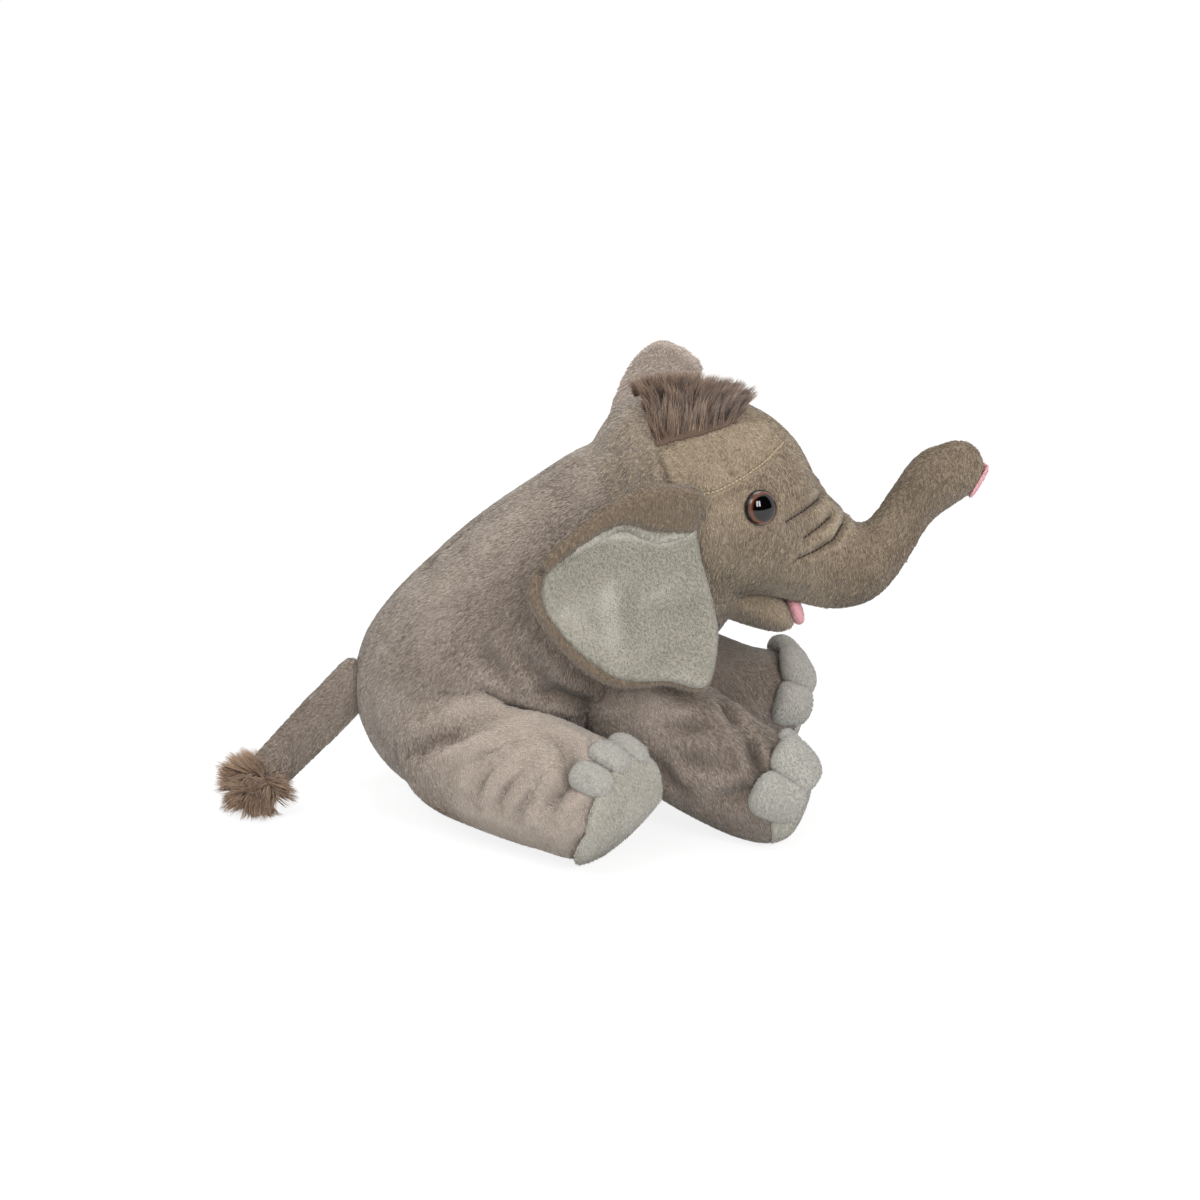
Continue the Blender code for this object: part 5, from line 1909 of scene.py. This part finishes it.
@dataclass
class Leg:
    """A stuffed leg with its sole and three toe pads; its radii run from the root to the foot."""

    side: str
    end: End
    radii: Section
    root_dome: float
    toes: Toes
    cut_back: float
    sag: float
    # shade darkens the pile (painted shade on the front legs) or lightens it where negative
    # (painted light on the lit hind thighs); pale_shade lightens the far foot's sole and toes
    # (painted light).
    shade: float
    pale_shade: float
    seed: int
    back_off: float = 0.004
    slack: float = 0.0014
    voxel: float = 0.0035
    sole_lift: float = 0.0030
    sole_share: float = 0.96
    sole_drop: float = 0.0
    sole_edge: float = 0.0016
    sole_gap: float = 0.0009
    sole_thickness: float = 0.0020
    joint: Array = field(init=False)
    way: Array = field(init=False)
    length: float = field(init=False)

    def __post_init__(self) -> None:
        """Reads where the leg lies from its joint and its CAD sole."""
        self.joint = PIVOTS[f"{self.name}_leg"]
        sole = points_of(frame["nodes"][f"{self.name}_sole"]).mean(axis=0)
        self.length = float(np.linalg.norm(sole - self.joint)) - self.sole_thickness
        self.way = unit(sole - self.joint)

    @property
    def name(self) -> str:
        """The leg's name."""
        return f"{self.side}_{self.end.value}"

    @property
    def foot(self) -> float:
        """The foot's radius."""
        return self.radii[3]

    def axes(self) -> tuple[Array, Array]:
        """The leg's side and top directions."""
        side = unit(np.cross(UP, self.way))
        return side, np.cross(self.way, side)

    def cut(self, points: Array) -> Array:
        """Points with the underside of the foot's end set back, as a foot at rest tips up."""
        from_joint = points - self.joint
        below = np.maximum(-(from_joint @ self.axes()[1]), 0.0)
        share = smoothstep(self.length * 0.45, self.length, from_joint @ self.way)
        return points - self.way * (self.cut_back * below * share)[:, None]

    def build(self) -> Skin:
        """The filled skin."""
        places = (-self.back_off, self.length * 0.38, self.length * 0.72, self.length - 0.001)
        rings = []
        for along, radius, drop in zip(places, self.radii, (0.0, 0.9, 1.2, 0.5)):
            inner = radius - self.slack
            place = self.joint + self.way * along - UP * (self.sag * drop)
            rings.append(Ring(place, inner, inner))
        form = stuffed_tube(rings, self.axes()[0], self.root_dome, 0.0035)
        skin = Skin.stuffed(f"{self.name}_leg_skin", form, self.voxel, 3, self.slack, 2)
        set_points(skin.made, self.cut(points_of(skin.made)))
        skin.rest_on_floor()
        return skin

    def sole(self, surface: BVHTree) -> Object:
        """The domed panel that lies on the end of the foot, whose surface is given."""
        side, top = self.axes()
        centre = self.joint + self.way * (self.length + 0.0005) - UP * (self.sag * 0.3)
        radius = self.foot * self.sole_share
        axes = (side * radius, top * (radius - self.sole_drop), self.way)
        centre = centre - top * self.sole_drop
        made = pad(f"{self.name}_sole_pad", centre, axes, self.sole_lift, self.sole_edge)
        points = self.cut(points_of(made))
        points[:, 2] = np.maximum(points[:, 2], PAD_ABOVE_FLOOR)
        ahead = 0.02
        for k, point in enumerate(points[:-1]):
            start = Vector(point + self.way * ahead)
            place, _, _, _ = surface.ray_cast(start, Vector(-self.way), ahead + self.sole_gap)
            if place is not None:
                points[k] = np.array(place) + self.way * self.sole_gap
        set_points(made, points)
        return made

    def toe(self, label: str, turn: float) -> Object:
        """A padded tab that wraps over the sole's edge."""
        side, top = self.axes()
        toes = self.toes
        out = top * math.cos(turn) + side * math.sin(turn)
        around = np.cross(self.way, out)
        facing = out * math.cos(toes.lean) + self.way * math.sin(toes.lean)
        along = np.cross(facing, around)
        back, tuck, share = 0.0, 0.0, 1.0
        if label == "inner":
            back, tuck, share = toes.inner_back, toes.inner_tuck, toes.inner_share
        reach, inset = self.length + toes.ahead - back, toes.inset + tuck
        centre = self.joint + self.way * reach + out * (self.foot - inset)
        wide, long, tall = np.array(toes.half) * share
        axes = (around * wide, along * long, facing * tall)
        made = cushion(f"{self.name}_toe_{label}_tab", centre, axes, self.foot)
        return keep_above(made, PAD_ABOVE_FLOOR)

    def dress(self, skin: Skin, finishes: Finishes, others: Sequence[Skin]) -> None:
        """Gives the leg its pile, sole and toes; the sole and toes ride on the leg, and the skin
        and pile are baked where they stand.
        """
        body = f"{self.name}_leg"
        points = points_of(skin.made)
        trim = outside(points, others)
        past = (points - self.joint) @ self.way - self.length
        below = np.maximum(-((points - self.joint) @ self.axes()[1]), 0.0)
        apart = points - self.joint - np.outer(past + self.length, self.way)
        radius = self.foot * self.sole_share
        covered = 1 - smoothstep(radius - 0.0025, radius - 0.0005, np.linalg.norm(apart, axis=1))
        trim *= 1 - covered * smoothstep(-0.0008, 0.0008, past + self.cut_back * below)
        # The leg's painted shade or light fades in from the root, which keeps the torso's shade;
        # the toes take the sole's shade, darker still.
        fade = smoothstep(-0.004, self.length * 0.55, past + self.length)
        skin.mark(self.way * 0.6 - UP * 0.8, trim, self.shade * fade)
        pile = finishes.taupe.cover(skin.made, f"{body}_pile", Pile(seed=self.seed))
        hold = Hold.across(("body", body), self.joint, self.way, -0.008, 0.03)
        hold.take_cover(skin.made, [pile], 0.7, f"{body}_cover", f"{body}_filling")
        sole, shade = self.sole(surface_of(skin.made)), self.pale_shade
        velour(sole, finishes.pale, body, f"{self.name}_sole", shade)
        for label, turn in (("inner", 1.0), ("top", 0.0), ("outer", -1.0)):
            toe = self.toe(label, -SIDES[self.side] * (turn * self.toes.spread - self.toes.roll))
            velour(toe, finishes.toe, body, f"{self.name}_toe_{label}", shade + 0.4)


class EarLayer(Enum):
    """The two layers of an ear."""

    BACK = "back"
    LINING = "lining"


@dataclass
class Ear:
    """An ear of two thin layers sewn together: a plush back and a pale lining."""

    side: str
    seed: int
    outward_share: float = 0.29
    outward_up: float = -0.16
    outward_down: float = 0.16
    spread: float = 0.95
    spread_up: float = 0.0
    hem_flare: float = 0.016
    lift: float = 0.0
    width: float = 0.070
    height: float = 0.081
    spacing: float = 0.0017
    ripple: float = 0.0007
    shade: float = 0.0

    @property
    def sign(self) -> float:
        """The ear's side across the toy."""
        return SIDES[self.side]

    def cut(self, layer: EarLayer) -> Array:
        """The flat cut of one layer as a closed run of (back, up) places."""
        raise NotImplementedError

    def place(self, flat: Array) -> Array:
        """Where points of the flat cut lie on the sewn ear."""
        return self.hang(flat[:, 0], flat[:, 1])

    def hang(self, back: Array, up: Array) -> Array:
        """Where the ear's middle surface hangs, before its top folds over."""
        root = PIVOTS[f"{self.side}_ear"] + ACROSS * (self.sign * 0.0012)
        hem = np.clip(-up / self.height / 0.4 - 1, 0, 1)
        ease = 0.016
        above = (np.hypot(up, ease) - ease + up) / 2
        below = above - up
        out = self.outward_share * back + self.hem_flare * hem**1.5
        out += self.outward_up * above + self.outward_down * below
        wave = np.sin(back * 190 + up * 60 + 0.6) * smoothstep(0.0, 0.05, -up)
        wave += 0.7 * np.sin(back * 330 - up * 120) * smoothstep(0.01, 0.05, -up)
        out += self.ripple * wave
        away = self.spread * back - self.spread_up * above
        return root + np.stack([-away, self.sign * out, up + self.lift], axis=-1)

    def _flat(self, edge: Array) -> tuple[Array, Faces]:
        """An even net of triangles inside a closed run."""
        low, high = edge.min(axis=0), edge.max(axis=0)
        rows = []
        for k, up in enumerate(np.arange(low[1], high[1], self.spacing * 0.87)):
            shift = 0.5 * self.spacing * (k % 2)
            backs = np.arange(low[0] + shift, high[0], self.spacing)
            rows.append(np.stack([backs, np.full(len(backs), up)], axis=1))
        grid = np.concatenate(rows)
        away = line_distance(grid, np.concatenate([edge, edge[:1]]))[0]
        grid = grid[inside_outline(grid, edge) & (away > self.spacing * 0.6)]
        flat = np.concatenate([edge, grid])
        count = len(edge)
        rim = [(k, (k + 1) % count) for k in range(count)]
        cut = delaunay_2d_cdt([Vector(p) for p in flat], rim, [list(range(count))], 1, 1e-7)
        return np.array([tuple(p) for p in cut[0]]), [tuple(f) for f in cut[2]]

    def layer(self, name: str, kind: EarLayer, offset: float, half: float) -> Object:
        """One padded layer.

        Args:
            name: The piece's name.
            kind: Which layer it is.
            offset: How far its middle stands out from the ear's own middle.
            half: Half its thickness.

        Returns:
            The closed layer.
        """
        edge = self.cut(kind)
        flat, triangles = self._flat(edge)
        step = 2e-4
        here = self.place(flat)
        right = self.place(flat + (step, 0)) - here
        above = self.place(flat + (0, step)) - here
        normal = unit(np.cross(right, above)) * self.sign
        away = line_distance(flat, np.concatenate([edge, edge[:1]]))[0]
        ease = np.clip(away / (half * 1.6), 0, 1)
        thick = half * np.sqrt(np.maximum(1 - (1 - ease) ** 2, 0))
        outer = here + normal * (offset + thick)[:, None]
        inner = here + normal * (offset - thick)[:, None]
        on_edge = away < 1e-6
        number = np.arange(len(flat)) + len(flat)
        number[on_edge] = np.flatnonzero(on_edge)
        faces = triangles + [tuple(int(number[i]) for i in f[::-1]) for f in triangles]
        made = new_object(name, np.concatenate([outer, inner]), faces)
        with editing(made.data) as builder:
            loose = [v for v in builder.verts if not v.link_faces]
            bmesh.ops.delete(builder, geom=loose, context="VERTS")
        return outward(made)

    def rubbed(self, lining: Object) -> Array:
        """The painted shade and light at each point of the lining, which a plain ear has none of.
        """
        return np.zeros(len(lining.data.vertices))

    def dress(self, fabric: Fabric, finishes: Finishes) -> None:
        """Makes both layers with their pile and hands them to the frame.

        Args:
            fabric: The back's fabric.
            finishes: The toy's fabrics.
        """
        body = f"{self.side}_ear"
        back = self.layer(f"{body}_back_layer", EarLayer.BACK, -0.0004, 0.0017)
        # The back's shade: painted shade on the near ear's folded flap, painted light on the far
        # ear.
        Skin(back.name, back).mark(-UP, None, self.shade)
        pile = fabric.cover(back, f"{body}_back_pile", Pile(seed=self.seed))
        Hold(body).take_cover(back, [pile], 0.2, f"{body}_back")
        lining = self.layer(f"{body}_lining_layer", EarLayer.LINING, 0.0014, 0.0013)
        velour(lining, finishes.pale, body, f"{body}_lining", self.rubbed(lining))


@dataclass
class FoldedEar(Ear):
    """The near ear, whose top is folded over and hangs down in front of the lining."""

    fold: tuple[tuple[float, float, float, float, float], ...] = (
        (-0.03, 0.08, 0.0014, 0.004, 0.0),
        (0.04, 0.115, 0.0028, 0.0115, 0.001),
        (0.15, 0.13, 0.0032, 0.012, 0.004),
        (0.29, 0.135, 0.0031, 0.011, 0.005),
        (0.47, 0.10, 0.0028, 0.0045, 0.003),
        (0.65, 0.025, 0.0024, 0.0025, 0.005),
        (0.85, -0.09, 0.0018, 0.0015, 0.004),
        (0.93, -0.15, 0.0014, 0.0003, 0.001),
    )
    back_edge: tuple[Pixel, ...] = (
        *((1.0, -0.19), (1.005, -0.29), (0.89, -0.45), (0.71, -0.60), (0.51, -0.69)),
        *((0.26, -0.70), (0.0, -0.745), (-0.10, -0.56), (-0.075, -0.38), (-0.01, -0.18)),
        (0.02, -0.03),
    )
    lining_edge: tuple[Pixel, ...] = (
        *((0.92, -0.135), (0.946, -0.276), (0.845, -0.43), (0.675, -0.575), (0.5, -0.668)),
        *((0.26, -0.688), (0.003, -0.735), (-0.095, -0.555), (-0.07, -0.378), (-0.004, -0.18)),
        (0.028, -0.04),
    )
    # Each dent: its line in pixels, its depth (negative raises it) and its width; it also paints
    # shade into the lining, painted light where raised.
    dents: tuple[tuple[tuple[Pixel, ...], float, float], ...] = (
        (((612, 586), (611, 608), (614, 634)), -0.0011, 9.0),
        (((626, 590), (630, 615), (634, 640)), 0.0011, 9.0),
        (((664, 615), (682, 611), (704, 611)), 0.0009, 8.0),
        (((648, 606), (664, 592), (676, 576)), -0.0008, 9.0),
        (((644, 672), (661, 657), (684, 648)), 0.0013, 8.0),
        (((560, 590), (585, 575), (610, 572)), 0.0012, 12.0),
        (((566, 618), (590, 640), (616, 655)), -0.0012, 13.0),
        (((640, 560), (664, 572), (690, 566)), 0.0010, 13.0),
    )
    # The lining's lip under the fold, which gets painted light with a painted shadow below it.
    lip_line: tuple[Pixel, ...] = (
        *((552, 556), (580, 546), (610, 536), (640, 538), (660, 543), (690, 534)),
    )

    def _fold(self, back: Array) -> tuple[Array, Array, Array, Array]:
        """The fold's height, roll, hanging length and lip at places along the ear."""
        rows = rounded_run(np.array(self.fold) * (self.width, self.height, 1, 1, 1), 8)
        return tuple(np.interp(back, rows[:, 0], rows[:, k]) for k in range(1, 5))

    def cut(self, layer: EarLayer) -> Array:
        """The flat cut, with the length that folds over at its top."""
        backs = np.linspace(self.fold[0][0], self.fold[-1][0], 70) * self.width
        crest, roll, hem, lip = self._fold(backs)
        top = crest + np.pi * roll + hem + (lip if layer is EarLayer.LINING else 0.0)
        edge = self.lining_edge if layer is EarLayer.LINING else self.back_edge
        lower = rounded_run(np.array(edge) * (self.width, self.height), 6)
        run = np.concatenate([np.stack([backs, top], axis=1), lower])
        return resample(np.concatenate([run, run[:1]]), 170)[:-1]

    def hang(self, back: Array, up: Array) -> Array:
        """The hanging ear with the photograph's dents pressed into it."""
        made = super().hang(back, up)
        pixels = CAMERA.project(made)
        for line, depth, width in self.dents:
            away, along = line_distance(pixels, np.array(line, float))
            fade = np.sqrt(np.sin(np.pi * np.clip(along, 0.03, 0.97)))
            press = depth * bell(away, width) * fade
            made = made - ACROSS * (self.sign * press)[:, None]
        return made

    def rubbed(self, lining: Object) -> Array:
        """Painted shade in the pressed dents and painted light on the raised ones, painted light on
        the lip under the fold with a painted shadow below it, and a darker lining overall.
        """
        pixels = CAMERA.project(points_of(lining))
        made = np.zeros(len(pixels))
        for line, depth, width in self.dents:
            away, _ = line_distance(pixels, np.array(line, float))
            made += np.clip(depth / 0.0030, -0.4, 0.5) * bell(away, width * 1.3)
        away, _ = line_distance(pixels, np.array(self.lip_line, float))
        # Painted shadow under the lip.
        under, _ = line_distance(pixels, np.array(self.lip_line, float) + (2.0, 12.0))
        made += 0.55 * bell(under, 5.0)
        # Painted light on the lip, and the lining darker overall.
        return made + 0.38 - 0.9 * bell(away, 5.0)

    def place(self, flat: Array) -> Array:
        """Where points of the flat cut lie, the top rolled over and hanging."""
        back, up = flat[:, 0], flat[:, 1]
        crest, roll, _, _ = self._fold(back)
        over = np.maximum(up - crest, 0.0)
        angle = np.minimum(over / roll, np.pi)
        down = np.maximum(over - np.pi * roll, 0.0)
        made = self.hang(back, np.minimum(up, crest) - down)
        share = (1 - np.cos(angle)) * roll - 0.12 * down
        out = ACROSS * self.sign
        return made + out * share[:, None] + UP * (np.sin(angle) * roll)[:, None]


@dataclass
class OpenEar(Ear):
    """The far ear, which stands open behind the head."""

    rim: float = 0.0026
    edge: tuple[Place, ...] = (
        *((-0.05, 0.17, 0.021), (0.10, 0.235, 0.023), (0.27, 0.245, 0.024)),
        *((0.42, 0.22, 0.026), (0.545, 0.16, 0.027), (0.645, 0.07, 0.026)),
        *((0.695, -0.05, 0.022), (0.70, -0.20, 0.009), (0.77, -0.51, 0.0)),
        *((0.45, -0.70, 0.0), (0.18, -0.73, 0.0), (-0.08, -0.775, 0.0)),
        *((-0.115, -0.40, 0.0), (-0.02, -0.08, 0.0)),
    )

    def cut(self, layer: EarLayer) -> Array:
        """The flat cut, set in from the edge for the lining."""
        inset = self.rim if layer is EarLayer.LINING else 0.0
        rows = np.array(self.edge)
        corners = rows[:, :2] * (self.width, self.height)
        corners[:, 1] += rows[:, 2]
        closed = np.concatenate([corners[-2:], corners, corners[:3]])
        run = rounded_run(closed, 8)[16 : 16 + 8 * len(corners)]
        run = resample(np.concatenate([run, run[:1]]), 130)[:-1]
        ahead, behind = np.roll(run, -1, axis=0), np.roll(run, 1, axis=0)
        along = unit(ahead - behind)
        inside = np.stack([-along[:, 1], along[:, 0]], axis=1)
        area = 0.5 * np.sum(run[:, 0] * ahead[:, 1] - ahead[:, 0] * run[:, 1])
        return run + inside * (inset if area > 0 else -inset)


@dataclass
class Mouth:
    """The lower jaw under the trunk and the pink lining of the mouth."""

    jaw: tuple[Section, ...] = (
        (0.028, -0.0190, 0.0088, 0.0155),
        (0.046, -0.0272, 0.0078, 0.0146),
        (0.0575, -0.0336, 0.0048, 0.0105),
    )
    slack: float = 0.0008
    pink: Pixel = (0.0606, -0.0288)
    pink_half: Place = (0.0062, 0.0098, 0.0028)
    pink_tilt: float = math.radians(20)

    def dress(self, finishes: Finishes, others: Sequence[Skin]) -> None:
        """Makes the jaw and the lining and hands them to the frame."""
        rings = [Ring(beyond(NECK, x, z), tall, wide) for x, z, tall, wide in self.jaw]
        form = stuffed_tube(rings, ACROSS, 0.006, 0.003)
        skin = Skin.stuffed("jaw_skin", form, 0.0025, 2, self.slack, 1)
        skin.mark(-UP, outside(points_of(skin.made), others, 0.002))
        pile = finishes.head.cover(skin.made, "jaw_pile", Pile(seed=67))
        Hold("head").take_cover(skin.made, [pile], 0.6, "lower_jaw")
        facing = tilted(self.pink_tilt)
        tall, wide, thick = self.pink_half
        axes = (np.cross(ACROSS, facing) * tall, ACROSS * wide, facing * thick)
        lining = cushion("mouth_pad", beyond(NECK, *self.pink), axes)
        velour(lining, finishes.pink, "head", "mouth_lining")


@dataclass
class Nostril:
    """The pink patch on the end of the trunk."""

    middle: Pixel = (0.1318, 0.0232)
    half: Place = (0.0072, 0.0070, 0.0010)
    tilt: float = math.radians(-29)
    sunk: float = 0.0004
    bend: float = 0.013

    def dress(self, finishes: Finishes, tip_surface: BVHTree) -> None:
        """Makes the patch on the trunk's skin and hands it to the frame."""
        facing = tilted(self.tilt)
        start = beyond(NECK, *self.middle) + facing * 0.03
        place, _, _, _ = tip_surface.ray_cast(Vector(start), Vector(-facing))
        tall, wide, thick = self.half
        axes = (ACROSS * wide, np.cross(facing, ACROSS) * tall, facing * thick)
        patch = cushion("nostril_pad", np.array(place) - facing * self.sunk, axes, self.bend)
        velour(patch, finishes.pink, "trunk_tip", "nostril_patch")


@dataclass
class Tail:
    """The strap of the tail and the tuft of long pile on its end."""

    length: float = 0.050
    half_height: float = 0.0106
    half_width: float = 0.0064
    taper: float = 0.86
    slack: float = 0.0006
    drop: float = math.radians(40)
    aside: float = math.radians(20)
    brush: float = 0.0084
    lowest: float = 0.0005
    locks: Locks = Locks(5.6e6, 0.0096, 0.00058, clump=260.0, scatter=0.5, seed=73)

    def way(self) -> Array:
        """The direction of the tail from the rump."""
        flat = np.array((-math.cos(self.aside), -math.sin(self.aside), 0))
        return flat * math.cos(self.drop) - UP * math.sin(self.drop)

    def dress(self, finishes: Finishes, others: Sequence[Skin]) -> None:
        """Makes the strap and the tuft; the tuft rides on the tail, and the strap is baked where it
        stands.
        """
        root, way = PIVOTS["tail"] + UP * 0.0014, self.way()
        across = unit(np.cross(UP, way))
        end = root + way * self.length
        rings = [
            Ring(root - way * 0.006, self.half_height, self.half_width),
            Ring((root + end) / 2, self.half_height * 0.95, self.half_width),
            Ring(end, self.half_height * self.taper, self.half_width * self.taper),
        ]
        form = stuffed_tube(rings, across, 0.004, 0.004)
        skin = Skin.stuffed("tail_skin", form, 0.0025, 2, self.slack, 1)
        skin.mark(way, outside(points_of(skin.made), others, 0.002), 0.2)
        pile = finishes.taupe.cover(skin.made, "tail_pile", Pile(seed=71))
        hold = Hold.across(("body", "tail"), root, way, -0.004, 0.012)
        hold.take_cover(skin.made, [pile], 0.6, "tail_cover")
        self._tuft(finishes, end, across)

    def _tuft(self, finishes: Finishes, end: Array, across: Array) -> None:
        """The tuft: a soft core and the strands that fan out from it."""
        way = self.way()
        rings = [
            Ring(end + way * 0.001, self.brush * 0.95, self.brush * 0.85),
            Ring(end + way * 0.006, self.brush, self.brush),
        ]
        form = stuffed_tube(rings, across, 0.003, self.brush * 0.7)
        core = Skin.stuffed("tail_tuft_core", form, 0.0020, 2)
        fan = unit(points_of(core.made) - (end + way * 0.0005))
        # The strands are lightened: painted light against the shade inside the tuft.
        core.mark(fan + way * 0.2 + UP * 0.15, None, -0.32)
        locks = finishes.long.cover(core.made, "tail_tuft_locks", self.locks)
        for piece in (core.made, locks):
            keep_above(piece, self.lowest)
        Hold("tail").take_cover(core.made, [locks], 0.5, "tail_tuft")


@dataclass
class Crown:
    """The patch of long pile over the top of the head."""

    middle: float = 0.016
    half_length: float = 0.026
    lowest: float = 0.036
    thickness: float = 0.0016
    locks: Locks = Locks(length=0.0088, seed=79)

    def nap(self, points: Array, normals: Array) -> Array:
        """The strands lie up the head, backwards at the back and forwards at the front."""
        rise = unit(UP - normals * normals[:, 2:3])
        fan = np.clip((points[:, :1] - NECK[0] - self.middle) / self.half_length, -1.2, 1.2)
        flat = 1 - smoothstep(0.8, 1.0, normals[:, 2:3])
        ahead = np.array((1.0, 0.0, 0.0)) * (0.12 + 0.60 * fan)
        behind = np.clip(-fan, 0.0, 1.0)
        return rise * (0.8 * flat * (1 - 0.8 * behind)) + normals * (0.40 + 0.1 * fan) + ahead

    def dress(self, finishes: Finishes, head: Skin) -> None:
        """Makes the patch on the head's skin and hands it to the frame."""

        def on_patch(middles: Array) -> Array:
            """True for each face of the head that the patch covers."""
            return within(middles, HAIR_EDGE) & (middles[:, 2] > NECK[2] + self.lowest)

        patch = duplicate_where(head.made, "crown_patch", on_patch)
        nap = self.nap(points_of(patch), normals_of(patch))
        Skin("crown_patch", patch).mark(nap, None, 0.18)
        locks = finishes.long.cover(patch, "crown_locks", self.locks)
        modifier = patch.modifiers.new("thick", "SOLIDIFY")
        modifier.thickness = self.thickness
        modifier.offset = 0.4
        settle(patch)
        Hold("head").take_cover(patch, [locks], 0.5, "crown_tuft")


def all_legs() -> list[Leg]:
    """The four legs of the sitting toy."""
    turns = [math.radians(a) for a in (34, -30, 50, 14, 13, 29)]
    far = Toes((0.0098, 0.0106, 0.0052), -0.0030, 0.0046, *turns[:3])
    tucked = {"inner_share": 0.80, "inner_back": 0.0060, "inner_tuck": 0.0032}
    near = replace(far, ahead=-0.0010, roll=math.radians(28), **tucked)
    hind = Toes((0.0061, 0.0082, 0.0046), -0.0048, 0.0010, *turns[3:])
    legs = []
    for k, side in enumerate(SIDES):
        is_near = side == "right"
        # Front legs get painted shade, hind legs painted light on the lit thighs, and the far foot
        # painted light on its sole and toes.
        pale = 0.0 if is_near else -0.12
        front = Leg(
            side,
            End.FRONT,
            (0.0243, 0.0240, 0.0228, 0.0230),
            root_dome=0.022,
            toes=near if is_near else far,
            sole_lift=0.0020,
            sole_share=0.85,
            sole_drop=0.0025,
            cut_back=0.0,
            sag=0.0042,
            shade=0.42,
            pale_shade=pale,
            seed=41 + k,
        )
        back = Leg(
            side,
            End.HIND,
            (0.0268, 0.0262, 0.0246, 0.0248),
            root_dome=0.025,
            toes=hind,
            cut_back=0.52,
            sag=0.0,
            shade=-0.82,
            pale_shade=pale,
            seed=51 + k,
        )
        legs += [front, back]
    return legs


def press_legs(legs: Sequence[Leg], skins: Sequence[Skin]) -> None:
    """Presses the photograph's creases into the legs; the far thigh takes the near one's."""
    near = {leg.end: skin for leg, skin in zip(legs, skins) if leg.side == "right"}
    guides = {end: surface_of(skin.made) for end, skin in near.items()}
    creases = {End.FRONT: SLEEVE_CREASES, End.HIND: THIGH_CREASES}
    for leg, skin in zip(legs, skins):
        if leg.name != "left_front":
            skin.crease(creases[leg.end], guides[leg.end], SIDES[leg.side])


def main() -> None:
    """Builds the toy piece by piece."""
    logging.basicConfig(level=logging.INFO, format="%(message)s")
    CAMERA.build()
    Studio().build()
    finishes = Finishes()
    torso, head, legs = Torso(), Head(), all_legs()
    torso_skin, head_skin = torso.build(), head.build()
    leg_skins = [leg.build() for leg in legs]
    nape = smoothstep(0.06, 0.04, points_of(head_skin.made)[:, 0])
    head_skin.ease_onto(torso_skin, 0.008, nape)
    for leg, skin in zip(legs, leg_skins):
        skin.ease_onto(torso_skin, 0.008 if leg.end is End.HIND else 0.005)
    press_legs(legs, leg_skins)
    head_surface = surface_of(head_skin.made)
    Eyes().dress(head_surface, finishes)
    Crown().dress(finishes, head_skin)
    Nostril().dress(finishes, head_surface)
    Mouth().dress(finishes, [head_skin])
    Tail().dress(finishes, [torso_skin])
    torso.dress(torso_skin, finishes, [head_skin, *leg_skins])
    for leg, skin in zip(legs, leg_skins):
        leg.dress(skin, finishes, [torso_skin])
    head.dress(head_skin, finishes, [torso_skin])
    # The near ear's flap gets painted shade.
    FoldedEar("right", 61, shade=0.95).dress(finishes.head, finishes)
    far_ear = OpenEar(
        "left",
        62,
        outward_share=0.90,
        outward_up=0.10,
        outward_down=0.34,
        spread=0.44,
        spread_up=0.36,
        hem_flare=0.0,
        # The far ear's back gets painted light, with its lighter hair tones.
        lift=0.003,
        shade=-0.3,
    )
    far_ear.dress(finishes.ear, finishes)


if __name__ == "__main__":
    main()
